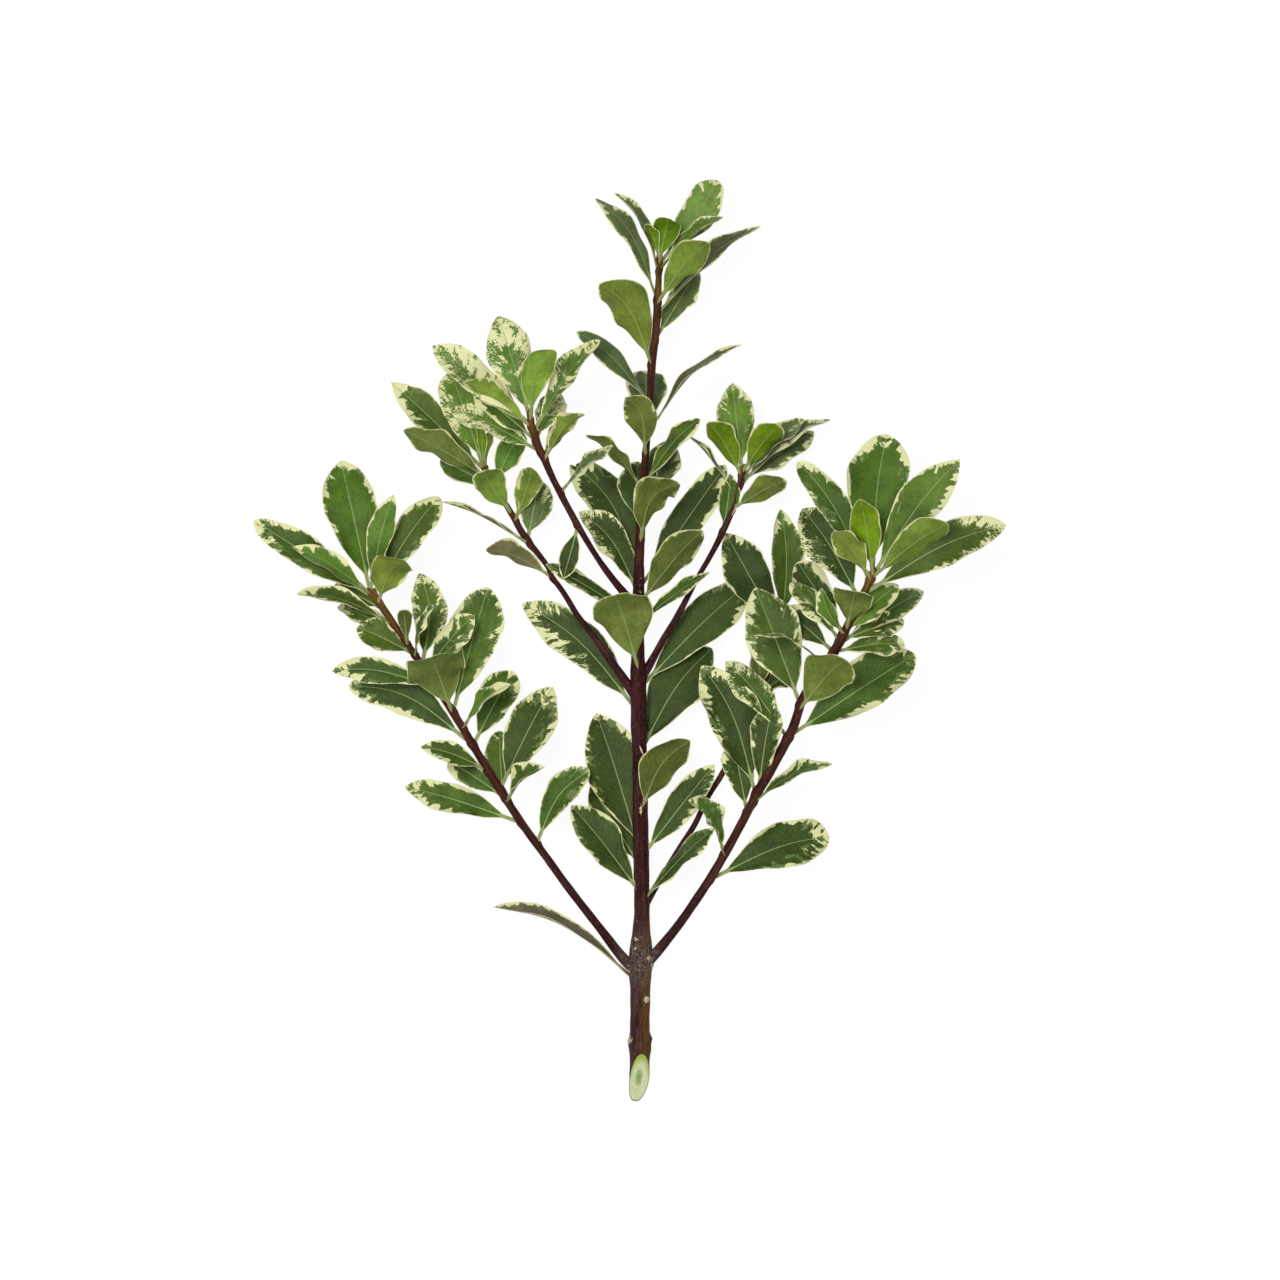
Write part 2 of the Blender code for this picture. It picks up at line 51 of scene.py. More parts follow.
# The line from foot to tip: x, y, z and radius at each point.
STEM_ROUTE = [
    (-1.0, 0, 0, 4.6), (0.2, 12, 0, 4.5), (0.4, 35, 0, 4.4), (0.5, 51, 0, 4.5), (0.6, 62, 0, 5.2),
    (0.9, 72, 0, 4.9), (1.0, 78.5, 0, 3.9), (1.2, 90, 0, 3.5), (0.6, 125, 0, 3.6),
    (0.0, 160, 0, 3.5), (-0.4, 192, 0, 3.6), (-0.6, 205, 0, 2.9), (-0.2, 233, 0, 2.6),
    (0.0, 243, 0, 2.2),
]
STEM_SIDES = 56
RING_STEP = 0.8
FEWEST_RINGS = 8
FINE_STEPS = 24

# Scars and buds on the stem: place along it, angle in degrees round it from its right side,
# reach along it and round it, how far it stands out, and how pale it is, from 0 to 1.
Scar = namedtuple("Scar", "y angle long wide stands pale")
STEM_SCARS = [
    Scar(28.5, 160, 2.2, 1.8, 1.1, 1.0), Scar(26.0, 172, 3.0, 2.2, 0.7, 0.0),
    Scar(29.0, 4, 1.6, 2.0, 1.3, 0.0), Scar(25.0, 0, 3.0, 2.0, 0.7, 0.0),
    Scar(47.2, 50, 1.6, 1.8, 0.9, 1.0), Scar(51.0, 30, 2.2, 1.5, 0.4, 0.3),
    Scar(61.0, 80, 4.0, 3.0, 0.5, 0.0), Scar(66.0, 48, 1.4, 1.7, 0.9, 0.85),
    Scar(62.6, 22, 1.5, 1.7, 1.1, 0.9), Scar(66.0, 95, 2.2, 2.0, 0.5, 0.0),
    Scar(68.0, 130, 1.3, 1.5, 0.5, 0.3), Scar(70.0, 124, 1.0, 1.2, 0.5, 0.75),
    Scar(74.5, 122, 1.1, 1.3, 0.5, 0.75), Scar(70.0, 50, 2.0, 2.0, 0.5, 0.0),
    Scar(60.0, 158, 1.6, 1.3, 0.7, 0.75), Scar(57.5, 110, 1.6, 2.4, 0.4, 0.0),
    Scar(82.5, 125, 0.7, 0.6, 0.2, 0.8), Scar(133.0, 85, 2.4, 0.7, 0.4, 0.9),
    Scar(205.0, 120, 1.0, 2.0, 0.3, 0.4), Scar(231.0, 80, 0.6, 2.2, 0.3, 0.7),
    Scar(234.0, 95, 0.5, 2.2, 0.3, 0.6), Scar(237.0, 70, 0.5, 2.0, 0.3, 0.5),
    Scar(96.0, 100, 0.7, 2.0, 0.2, 0.3), Scar(157.0, 60, 1.2, 1.2, 0.3, 0.4),
]

# Low ridges of the bark: height as a share of the radius, number round the limb, multiple of
# the limb's own phase, twist in radians a millimetre, and start in radians.
RIDGES = [
    (0.022, 5.0, 1.0, 0.05, 0.0), (0.016, 9.0, -2.0, -0.08, 0.0), (0.012, 14.0, 1.0, 0.21, 0.0),
    (0.020, 2.0, 1.0, 0.55, -math.pi / 2.0),
]
RIDGES_FADE_IN = 0.03
PHASE_STEP = 1.7
GRAIN_STEP = 40.0
BLUNT_END = 0.98


def smooth_route(points):
    """Dense line through the points: a Catmull-Rom cubic between each pair of neighbours."""
    knots = np.array(points, dtype=float)
    padded = np.vstack([2.0 * knots[0] - knots[1], knots, 2.0 * knots[-1] - knots[-2]])
    t = np.linspace(0.0, 1.0, FINE_STEPS, endpoint=False)[:, None]
    pieces = []
    for a, b, c, d in zip(padded, padded[1:], padded[2:], padded[3:]):
        pieces.append(0.5 * (2.0 * b + (c - a) * t + (2.0 * a - 5.0 * b + 4.0 * c - d) * t ** 2
                             + (3.0 * b - a - 3.0 * c + d) * t ** 3))
    return np.vstack(pieces + [knots[-1:]])


def on_route(route, y):
    """x, y, z and radius of the route where it passes y."""
    return np.stack([np.interp(y, route[:, 1], route[:, k]) for k in range(4)], axis=-1)


def smooth_step(value, low, high):
    """0 below low, 1 above high, and a soft curve between."""
    t = np.clip((value - low) / (high - low), 0.0, 1.0)
    return t * t * (3.0 - 2.0 * t)


def bark_skin(route, y_from, y_to, sides, scars, seed, round_end=0.0):
    """Rings of a limb, and for each point its grain place, how pale its scar is, and its age.

    The rings start at y_from, one number or one for each angle. A ring has the route's radius
    times 1 plus the ridges, a sum of cosines of whole numbers of the angle that twist along
    the limb. Each scar adds a bell curve. The last round_end millimetres draw in on a quarter
    circle, down to a small blunt end.
    """
    count = max(FEWEST_RINGS, round((y_to - np.min(y_from)) / RING_STEP) + 1)
    share = np.linspace(0.0, 1.0, count)[:, None]
    a = np.linspace(0.0, 2.0 * math.pi, sides, endpoint=False)[None, :]
    y = y_from + (y_to - y_from) * share + 0.0 * a
    line = on_route(route, y)
    centre, radius = line[..., :3], line[..., 3]
    ahead = np.gradient(centre, axis=0)
    ahead = ahead / np.linalg.norm(ahead, axis=-1, keepdims=True)
    right = np.cross(ahead, [0.0, 0.0, 1.0])
    right = right / np.linalg.norm(right, axis=-1, keepdims=True)
    up = np.cross(right, ahead)
    ridges = np.zeros_like(y)
    for height, number, phases, twist, begin in RIDGES:
        ridges = ridges + height * np.cos(number * a + phases * PHASE_STEP * seed + twist * y + begin)
    rim = radius * (1.0 + ridges * smooth_step(share, 0.0, RIDGES_FADE_IN))
    pale = np.zeros_like(rim)
    for scar in scars:
        turn = (a - math.radians(scar.angle) + math.pi) % (2.0 * math.pi) - math.pi
        near = np.exp(-((y - scar.y) / scar.long) ** 2 - (turn * radius / scar.wide) ** 2)
        rim = rim + scar.stands * near
        pale = np.maximum(pale, scar.pale * near)
    if round_end > 0.0:
        past = np.clip((y - y_to + round_end) / round_end, 0.0, BLUNT_END)
        rim = rim * np.sqrt(1.0 - past ** 2)
    points = centre + rim[..., None] * (np.cos(a)[..., None] * right + np.sin(a)[..., None] * up)
    grain = np.stack([np.cos(a) * radius, np.sin(a) * radius, y + GRAIN_STEP * seed], axis=-1)
    return points, {"grain": grain, "pale": pale, "age": share + 0.0 * a}


# How the stem lies: tipped by three degrees about x, its tip end held up by the leaves under
# it, with the middle of its plan over the origin and its lowest leaf on the surface.
MM = 0.001
LIE_TILT = math.radians(3.0)
LIES_AT = np.array([4.94, -208.47, 5.33])
CREASE_ANGLE = math.radians(55.0)


def lay_down(points):
    """Points turned about x by the tilt, moved to where the stem lies, and made metres."""
    c, s = math.cos(LIE_TILT), math.sin(LIE_TILT)
    x, y, z = points[..., 0], points[..., 1], points[..., 2]
    return (np.stack([x, c * y - s * z, s * y + c * z], axis=-1) + LIES_AT) * MM


def skin_object(name, points, fields, materials):
    """Closed mesh of rings: quads between neighbouring rings and a many-sided cap at each end.

    The points are sets of rings, and the fields are numbers, vectors or colours, one for each
    point, that the materials read.
    """
    sets, rows, around = points.shape[:3]
    i, j = np.meshgrid(np.arange(rows - 1), np.arange(around), indexing="ij")
    k = (j + 1) % around
    row, next_row = i * around, (i + 1) * around
    quads = np.stack([row + j, next_row + j, next_row + k, row + k], axis=-1).reshape(-1, 4)
    first = np.arange(around)
    last = (rows - 1) * around + first[::-1]
    faces = []
    for number in range(sets):
        start = number * rows * around
        faces += (quads + start).tolist() + [(first + start).tolist(), (last + start).tolist()]
    mesh = bpy.data.meshes.new(name)
    mesh.from_pydata(lay_down(points).reshape(-1, 3).tolist(), [], faces)
    mesh.shade_smooth()
    mesh.set_sharp_from_angle(angle=CREASE_ANGLE)
    kinds = {1: ("FLOAT", "value"), 3: ("FLOAT_VECTOR", "vector"), 4: ("FLOAT_COLOR", "color")}
    for title, values in fields.items():
        flat = np.asarray(values, dtype=np.float32).reshape(sets * rows * around, -1)
        kind, key = kinds[flat.shape[1]]
        mesh.attributes.new(title, kind, "POINT").data.foreach_set(key, flat.ravel())
    for material in materials:
        mesh.materials.append(material)
    piece = bpy.data.objects.new(name, mesh)
    bpy.context.scene.collection.objects.link(piece)
    return piece


class Finish:
    """A material's nodes, named for what a maker does: read a field, grain it, mix colours."""

    def __init__(self, name):
        self.material = bpy.data.materials.new(name)
        self.material.use_nodes = True
        self.tree = self.material.node_tree
        self.shader = self.tree.nodes["Principled BSDF"]

    def node(self, kind, inputs, **settings):
        node = self.tree.nodes.new(kind)
        for key, value in settings.items():
            setattr(node, key, value)
        for key, value in inputs.items():
            if isinstance(value, bpy.types.NodeSocket):
                self.tree.links.new(value, node.inputs[key])
            else:
                node.inputs[key].default_value = value
        return node

    def field(self, name, output):
        return self.node("ShaderNodeAttribute", {}, attribute_name=name).outputs[output]

    def sum(self, a, b):
        return self.node("ShaderNodeMath", {0: a, 1: b}, operation="ADD").outputs[0]

    def times(self, a, b):
        return self.node("ShaderNodeMath", {0: a, 1: b}, operation="MULTIPLY").outputs[0]

    def wave(self, a):
        return self.node("ShaderNodeMath", {0: a}, operation="COSINE").outputs[0]

    def part(self, place, axis):
        """One coordinate of a place: 0 gives x and 1 gives y."""
        return self.node("ShaderNodeSeparateXYZ", {0: place}).outputs[axis]

    def noise(self, place, stretch, detail):
        """Cloudy noise about zero, from -0.5 to 0.5, whose place is stretched first."""
        at = self.node("ShaderNodeMapping", {"Vector": place, "Scale": stretch}).outputs[0]
        cloud = self.node("ShaderNodeTexNoise", {"Vector": at, "Scale": 1.0, "Detail": detail})
        return self.sum(cloud.outputs["Fac"], -0.5)

    def ramp(self, value, off, on):
        """0 where the value is at off, 1 where it is at on, straight between."""
        return self.node("ShaderNodeMapRange", {"Value": value, 1: off, 2: on, 3: 0.0, 4: 1.0}).outputs[0]

    def mix(self, share, below, above):
        node = self.node("ShaderNodeMix", {0: share, 6: below, 7: above}, data_type="RGBA")
        return node.outputs[2]

    def shaded(self, colour, shade):
        """The colour times the shade, channel by channel."""
        node = self.node("ShaderNodeMix", {0: 1.0, 6: colour, 7: shade}, data_type="RGBA",
                         blend_type="MULTIPLY")
        return node.outputs[2]

    def gloss(self, roughness, sheen):
        self.shader.inputs["Roughness"].default_value = roughness
        self.shader.inputs["Specular IOR Level"].default_value = sheen

    def relief(self, height, depth):
        bump = self.node("ShaderNodeBump", {"Height": height, "Distance": depth, "Strength": 1.0})
        self.tree.links.new(bump.outputs[0], self.shader.inputs["Normal"])

    def paint(self, colour):
        self.tree.links.new(colour, self.shader.inputs["Base Color"])


# Tones that the bark of every limb shares. Those of the streaks multiply its colour.
STREAK_DARK = (0.45, 0.40, 0.40, 1.0)
STREAK_PALE = (1.5, 1.5, 1.5, 1.0)
CRUST_GREY = (0.158, 0.128, 0.108, 1.0)
CRUST_FLECK = (0.32, 0.27, 0.20, 1.0)
PORE_BROWN = (0.24, 0.16, 0.11, 1.0)
SCAR_RIM = (0.30, 0.22, 0.13, 1.0)
SCAR_FACE = (0.62, 0.56, 0.34, 1.0)
TIP_AGES = (0.80, 1.0)
BARK_ROUGHNESS = 0.5
BARK_SHEEN = 0.06
BARK_RELIEF = 0.45 * MM


def bark_finish(name, deep, warm, painted_sheen, young, tip, ages):
    """Bark: lengthways streaks between two browns, a painted sheen on its left side and the right side
    painted browner, knots, pores and scars.

    With the age field, 0 to 1 along the limb, it turns to the young colour and then the tip's.
    """
    finish = Finish(name)
    grain = finish.field("grain", "Vector")
    streaks = finish.noise(grain, stretch=(1.1, 1.1, 0.10), detail=4.0)
    shade = finish.mix(finish.ramp(streaks, -0.16, 0.16), STREAK_DARK, STREAK_PALE)
    patches = finish.noise(grain, stretch=(0.45, 0.45, 0.10), detail=4.0)
    # Painted light: side, the limb's x, leans the browns warmer towards the right, and below it puts a
    # painted grey sheen on the left side, where the light fell.
    side = finish.part(grain, 0)
    warmth = finish.sum(finish.times(side, 0.06), patches)
    colour = finish.mix(finish.ramp(warmth, -0.15, 0.25), deep, warm)
    age = finish.sum(finish.field("age", "Fac"), finish.times(patches, 0.2))
    colour = finish.mix(finish.ramp(age, *ages), colour, young)
    colour = finish.mix(finish.ramp(age, *TIP_AGES), colour, tip)
    colour = finish.shaded(colour, shade)
    # The painted sheen is strongest on the left side and broken up by random patches.
    shine = finish.sum(finish.times(side, -0.05), patches)
    colour = finish.mix(finish.times(finish.ramp(shine, -0.02, 0.30), 0.35), colour, painted_sheen)
    crust = finish.noise(grain, stretch=(1.0, 1.0, 0.8), detail=5.0)
    knot = finish.times(finish.field("knot", "Fac"), finish.ramp(crust, -0.16, 0.12))
    colour = finish.mix(finish.times(knot, 0.9), colour, CRUST_GREY)
    flecks = finish.times(finish.field("knot", "Fac"), finish.ramp(crust, 0.13, 0.25))
    colour = finish.mix(finish.times(flecks, 0.5), colour, CRUST_FLECK)
    pores = finish.noise(grain, stretch=(1.7, 1.7, 1.0), detail=2.0)
    colour = finish.mix(finish.times(finish.ramp(pores, 0.10, 0.22), 0.30), colour, PORE_BROWN)
    mottle = finish.noise(grain, stretch=(1.5, 1.5, 1.5), detail=2.0)
    scar = finish.sum(finish.field("pale", "Fac"), finish.times(mottle, 0.9))
    scar_tone = finish.mix(finish.ramp(mottle, -0.05, 0.12), SCAR_RIM, SCAR_FACE)
    colour = finish.mix(finish.ramp(scar, 0.40, 0.62), colour, scar_tone)
    finish.paint(colour)
    finish.gloss(BARK_ROUGHNESS, BARK_SHEEN)
    height = finish.sum(streaks, finish.times(pores, 0.4))
    finish.relief(finish.sum(height, finish.times(knot, 1.5)), BARK_RELIEF)
    return finish.material


old_bark = bark_finish(
    "old_bark", deep=(0.034, 0.012, 0.013, 1.0), warm=(0.086, 0.038, 0.008, 1.0),
    painted_sheen=(0.085, 0.046, 0.050, 1.0), young=(0.032, 0.0055, 0.0055, 1.0),
    tip=(0.032, 0.006, 0.006, 1.0), ages=(0.20, 0.36))
stem_route = smooth_route(STEM_ROUTE)

# The cut's slope is the height of its oval over its length. The crusty bark of the joint has
# its y, its reach along the stem and its spread across it.
CUT_LOW = -4.5
CUT_SLOPE = 9.1 / 20.5
CUT_TURN = math.radians(25.0)
KNOT_AT = 65.0
KNOT_REACH = 9.5
KNOT_SPREAD = 8.5


def cut_heights(radius):
    """y of the cut's plane for each angle round the foot: height over slope, plus the turn."""
    around = np.linspace(0.0, 2.0 * math.pi, STEM_SIDES, endpoint=False)[None, :]
    x, z = radius * np.cos(around), radius * np.sin(around)
    return STEM_ROUTE[0][1] + ((z - CUT_LOW) / CUT_SLOPE + x * math.sin(CUT_TURN)) / math.cos(CUT_TURN)


def knot_share(points):
    """How crusty and grey the bark is: a bell curve about the joint of the low boughs."""
    across, along = points[..., 0] / KNOT_SPREAD, (points[..., 1] - KNOT_AT) / KNOT_REACH
    return np.exp(-along ** 2 - across ** 4)


foot_rim = cut_heights(STEM_ROUTE[0][3])
points, fields = bark_skin(stem_route, foot_rim, STEM_ROUTE[-1][1], STEM_SIDES, STEM_SCARS, 1)
fields["knot"] = knot_share(points)
cut_rim = points[0]
stem = skin_object("bark_main_stem", points[None], fields, [old_bark])
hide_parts("main_stem")
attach(stem, "root")


# The cut: the slanting face that the knife left at the foot. A green rim of living bark goes
# round pale wet wood, with a darker oval of pith in the middle. It is a disc of rings
# inside the bark's first ring, a hair above it.
CUT_RINGS = 26
INNER_RING = 0.01
FACE_SHARE = 0.985
FACE_LIFT = 0.25
WET_WOOD_DARK = (0.42, 0.48, 0.23, 1.0)
WET_WOOD_PALE = (0.60, 0.64, 0.38, 1.0)
PITH_RIM = (0.28, 0.37, 0.13, 1.0)
PITH = (0.19, 0.28, 0.07, 1.0)
LIVING_BARK = (0.27, 0.36, 0.03, 1.0)
BARK_EDGE = (0.10, 0.07, 0.02, 1.0)

shares = np.broadcast_to(np.linspace(INNER_RING, 1.0, CUT_RINGS)[:, None], (CUT_RINGS, STEM_SIDES))
wood_place = (cut_rim - cut_rim.mean(axis=0)) * shares[..., None] * FACE_SHARE
face = wood_place + cut_rim.mean(axis=0)
over, under = face + [0.0, 0.0, FACE_LIFT], face[::-1] - [0.0, 0.0, FACE_LIFT]


def cut_finish():
    """Pith, pale wet wood, a yellow-green border that widens upwards, and the bark's edge."""
    finish = Finish("fresh_cut")
    share = finish.field("ring", "Fac")
    place = finish.field("wood", "Vector")
    blotch = finish.noise(place, stretch=(0.8, 0.22, 1.0), detail=3.0)
    fine = finish.noise(place, stretch=(3.0, 1.0, 1.0), detail=3.0)
    ring_edge = finish.sum(share, finish.times(blotch, 0.35))
    living = finish.sum(ring_edge, finish.times(finish.part(place, 1), 0.03))
    colour = finish.mix(finish.ramp(fine, -0.15, 0.15), WET_WOOD_DARK, WET_WOOD_PALE)
    colour = finish.mix(finish.ramp(ring_edge, 0.46, 0.24), colour, PITH_RIM)
    colour = finish.mix(finish.ramp(ring_edge, 0.22, 0.10), colour, PITH)
    colour = finish.mix(finish.ramp(living, 0.72, 1.15), colour, LIVING_BARK)
    colour = finish.mix(finish.ramp(share, 0.95, 0.99), colour, BARK_EDGE)
    finish.paint(colour)
    finish.gloss(0.45, 0.5)
    finish.relief(fine, 0.1 * MM)
    return finish.material


disc = skin_object("cut_face", np.concatenate([over, under])[None],
                   {"ring": np.concatenate([shares, shares[::-1]]),
                    "wood": np.concatenate([wood_place, wood_place[::-1]])}, [cut_finish()])
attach(disc, "root")


# Boughs and twigs: thinner, smoother and redder than the stem. Each bough runs bare from the
# stem to where its leaves begin, and its twig goes on to the tip with a small swelling under
# every leaf. Bough and twig are one line, made as two skins.

# A shoot: its line, the y where its bare bough ends and its twig begins, and its leaves.
Shoot = namedtuple("Shoot", "route bare_to leaves")

LEADER_ROUTE = [
    (-0.2, 231, 0, 2.2), (0.0, 243, 0, 2.2), (0.6, 257, 0, 2.1), (1.9, 280, 0.5, 1.9),
    (3.2, 296, 0.5, 1.6), (4.6, 314, 0.5, 1.6), (5.9, 335, 0.5, 1.9), (7.6, 350, 0.5, 1.8),
    (8.4, 363, 1.0, 1.7), (8.9, 374, 1.2, 1.3), (9.2, 386, 1.5, 1.0),
]
LOW_LEFT_ROUTE = [
    (0.3, 59, 0, 2.9), (-7, 65.3, 0.3, 2.4), (-18.2, 79.7, 0.8, 1.9), (-32.7, 98.6, 1.7, 1.8),
    (-40.8, 110, 2.3, 1.75), (-51.7, 125.1, 3.5, 1.8), (-62.5, 141.7, 4.6, 1.8), (-72, 157.5, 5.7, 1.8),
    (-81.4, 173.3, 6.6, 1.8), (-92, 190, 7.5, 1.6), (-105.4, 210, 8.1, 1.4),
    (-116.3, 226, 8.8, 1.6), (-122.5, 233, 9.0, 1.1),
]
LOW_RIGHT_ROUTE = [
    (0.5, 60, 0.5, 2.9), (9.4, 70, 1.0, 2.3), (18.4, 81.5, 2.1, 2.0), (24.9, 91, 3.2, 2.0),
    (31.7, 101.5, 4.9, 2.0), (38.4, 113, 7.1, 2.0), (47.5, 130, 10.1, 1.9), (52.5, 140, 11.9, 2.0),
    (58.3, 150.5, 13.8, 2.3), (68.6, 170, 17.0, 2.1), (74.3, 186, 19.2, 1.9),
    (87.5, 206, 21.5, 1.9), (95.6, 222, 23.5, 1.8), (102.4, 236, 25.2, 1.6), (105.5, 243, 26.0, 1.1),
]
THIN_RIGHT_ROUTE = [
    (1.4, 87, -0.8, 1.8), (8, 98.5, -1.8, 1.5), (14.5, 109, -2.4, 1.3), (19.5, 117, -2.8, 1.3),
    (25.3, 126, -3.1, 1.3), (31, 138, -3.6, 1.3), (38.8, 151, -4.2, 1.3), (48, 172, -5.5, 1.3),
    (57, 191, -6.8, 1.3), (65, 217, -8.0, 1.0),
]
MID_LEFT_ROUTE = [
    (0, 181, 0, 2.4), (-7.1, 192, -0.3, 2.0), (-12.8, 200, -0.8, 1.7), (-19.7, 210, -1.7, 1.6),
    (-27.6, 220, -2.9, 1.3), (-33.8, 230, -4.3, 1.3), (-39.5, 238, -5.2, 1.2),
    (-41.8, 243, -5.5, 1.2), (-51.8, 256, -6.4, 1.5), (-57.8, 266.3, -7.0, 1.4), (-71, 288, -7.7, 1.0),
]
MID_RIGHT_ROUTE = [
    (0, 190, 0, 2.2), (5.8, 200, -0.4, 1.8), (11.3, 210, -0.9, 1.5), (17.4, 220, -1.6, 1.5),
    (25.4, 235.6, -2.8, 1.2), (31.1, 245.3, -3.5, 1.2), (36.3, 255, -4.3, 1.4),
    (41, 265.4, -4.8, 1.4), (44.6, 277, -5.1, 1.3), (47.5, 288.5, -4.7, 1.0),
]
HIGH_LEFT_ROUTE = [
    (-0.5, 224, 0, 2.1), (-6.8, 230.5, 0.9, 1.8), (-14.3, 240, 2.7, 1.5), (-21, 250, 4.8, 1.3),
    (-29.1, 264, 7.9, 1.5), (-37.5, 280, 11.6, 1.5), (-42, 290, 13.7, 1.6), (-46.3, 300, 16.0, 1.7),
    (-49.5, 313, 18.6, 1.1),
]

# Each leaf: root (y of its place on the shoot), tip x and y, rise of the tip above the root,
# width, and roll in degrees, 0 with its upper side up and 180 with its underside up. Bow and
# sweep bend it upwards and sideways by a share of its length, and fold lifts its margins by a
# share of its half width. Then its cream: how wide it is on the left and right margins and at
# the tip, seen from the upper side with the tip away, and how speckled. Last, its green.
Leaf = namedtuple("Leaf", "root tip_x tip_y rise width roll bow fold sweep left right tip speckle green",
                  defaults=(0.10, 0.2, 0.0, 0.7, 0.7, 1.4, 0.15, "mid"))
LEADER_LEAVES = [
    Leaf(254, 18, 281, 20, 17, -155, 0.08, 0.2, 0.15, left=2.0, right=2.4, tip=3, green="dark"),
    Leaf(258, -1, 289, -14, 18, 0, green="dark"),
    Leaf(277, -23.5, 302, 6, 12, 120),
    Leaf(270, 13, 299, -16, 17, -10, 0.04, 0.2, 0.05, right=2.5, tip=2, green="grey"),
    Leaf(279, 27, 309, 2, 11, -40, 0.08),
    Leaf(293, -6, 319, 20, 15, 170, 0.10, 0.2, -0.10, left=3.5, right=3, tip=3, green="dark"),
    Leaf(303, 45, 343, 8, 10, -72, 0.09, green="brown"),
    Leaf(303, 3, 330, -22, 19, 0, tip=2, green="grey"),
    Leaf(316, -28, 348, 0, 12, 40, 0.09, left=0.3, right=0.3, tip=0.5, green="grey"),
    Leaf(333, -17.5, 370, 14, 19, 165, 0.10, 0.2, -0.08, right=1.0, tip=1.5, green="bright"),
    Leaf(344, 26, 376, -14, 13, -20, 0.05, 0.2, 0.03, right=1.0, tip=1.6, green="grey"),
    Leaf(356, 54, 396, -4, 13, -58, 0.07, tip=2, green="brown"),
    Leaf(361, 31, 387.5, 20, 15, -165, 0.10, 0.2, 0.03, left=0.9, tip=1, green="bright"),
    Leaf(362, -20, 407.5, -6, 12, 45, 0.14, tip=3, green="grey"),
    Leaf(375, -11, 410, 0, 9, 60, 0.12, tip=2, green="grey"),
    Leaf(379, 13, 399, 14, 12.5, 180, 0.18, 0.3, left=0.3, right=0.3, tip=0.3, green="lime"),
    Leaf(381, 3, 396, 10, 6, 150, left=0.2, right=0.2, tip=0.2, green="lime"),
    # This leaf's pale green is a painted highlight.
    Leaf(378, 35, 416, -10, 17, -15, 0.06, 0.2, 0.05, left=0.8, right=2.6, tip=4.5, green="pale"),
    Leaf(376, 37, 400, 5, 10, -60, 0.06, left=1.2, right=2, tip=2, green="bright"),
]
HIGH_LEFT_LEAVES = [
    Leaf(308, -63, 355, -6, 20, 5, 0.05, left=6, right=9, tip=20, speckle=0.6, green="bright"),
    Leaf(306, -92, 342, -4, 16, 20, 0.05, left=14, right=18, tip=22, speckle=0.35, green="bright"),
    Leaf(305, -78, 326, 12, 12, 150, 0.12, left=2.5, right=2.5, tip=3, green="pale"),
    Leaf(299, -74, 321, -8, 12, 15, left=1, right=0.5, tip=3),
    Leaf(294, -85, 314, -14, 14, 35, 0.05, left=5, right=4, tip=8, speckle=0.8, green="bright"),
    Leaf(309, -37, 340, 14, 14, -170, 0.10, 0.2, 0.12, left=1.2, right=0.6, tip=0.7, green="pale"),
    Leaf(303, -17, 344, 0, 14, -45, 0.08, left=4.5, right=4, tip=12, speckle=0.3, green="bright"),
    Leaf(300, -35, 320, -16, 13, -15, left=5, right=8, tip=8, speckle=0.6, green="bright"),
    Leaf(291, -25, 312, 14, 11, -140, 0.12, 0.4, left=3, right=3, tip=9, speckle=0.3, green="bright"),
    Leaf(292, -33, 306, -12, 8, -20, left=4, right=4, tip=4),
    Leaf(276, -11.5, 297, 4, 10, -60, 0.05, left=4, right=3, tip=6, speckle=0.3, green="grey"),
    Leaf(261, -34, 237, -1, 9, 0, 0.05, left=0.3, right=0.3, tip=0.4, green="dark"),
]
MID_LEFT_LEAVES = [
    Leaf(237, -69, 250, 6, 12, 140, 0.12, left=1, right=1, tip=2, speckle=0.4, green="brown"),
    Leaf(254, -45, 281, -8, 17, 0, left=2, right=2, tip=3, speckle=0.6, green="grey"),
    Leaf(263, -48, 287, 10, 12, 170, left=3, right=4, tip=5, green="bright"),
    Leaf(252, -89, 272, 3, 7, 85, 0.04, green="brown"),
    Leaf(266, -70, 286, 13, 15, 170, 0.12, 0.2, 0.05, left=1, right=1, tip=1.2, green="bright"),
    Leaf(279, -53, 303, -6, 13.5, -20, 0.05, left=0.4, right=0.4, tip=0.6, green="bright"),
    Leaf(281, -106, 303.5, 9, 14, 150, 0.05, left=0.8, right=0.8, tip=1.5),
    Leaf(277, -90, 290, -10, 12, 10, left=0.5, right=0.5, tip=1),
    Leaf(285, -112, 325, -10, 15, 15, 0.03, left=3, right=0.5, tip=5),
    Leaf(287, -85, 330, -2, 20, 5, left=4, right=0.6, tip=3, speckle=0.6, green="bright"),
    Leaf(287, -72, 306, 9, 5, 160, left=0.3, right=0.3, tip=0.4, green="lime"),
    Leaf(286, -66, 304, 5, 5, -150, left=0.3, right=0.3, tip=0.4, green="bright"),
]
MID_RIGHT_LEAVES = [
    Leaf(258, 41, 284, -3, 10, 10),
    Leaf(268, 66, 281, 10, 13, -150, 0.08),
    Leaf(274, 20, 304, -2, 6, 75, 0.04, green="brown"),
    Leaf(284, 42, 325, -8, 17, 0, 0.08, left=4, right=2, tip=5, speckle=0.4, green="bright"),
    Leaf(283, 31, 307.5, 8, 13, 155, left=0.6, right=0.6, tip=1.2, green="lime"),
    Leaf(285, 63, 306, 12, 14, -160, 0.10, left=0.9, right=0.9, tip=1.2, green="lime"),
    Leaf(281, 75, 308, -5, 13, -45, left=1, right=2.5, tip=4, green="grey"),
    Leaf(278, 86, 309, -8, 12, -60, left=1, right=2, tip=5, green="grey"),
    Leaf(280, 79, 303, -12, 13, -20, 0.05, left=1, right=1.5, tip=2, green="grey"),
]
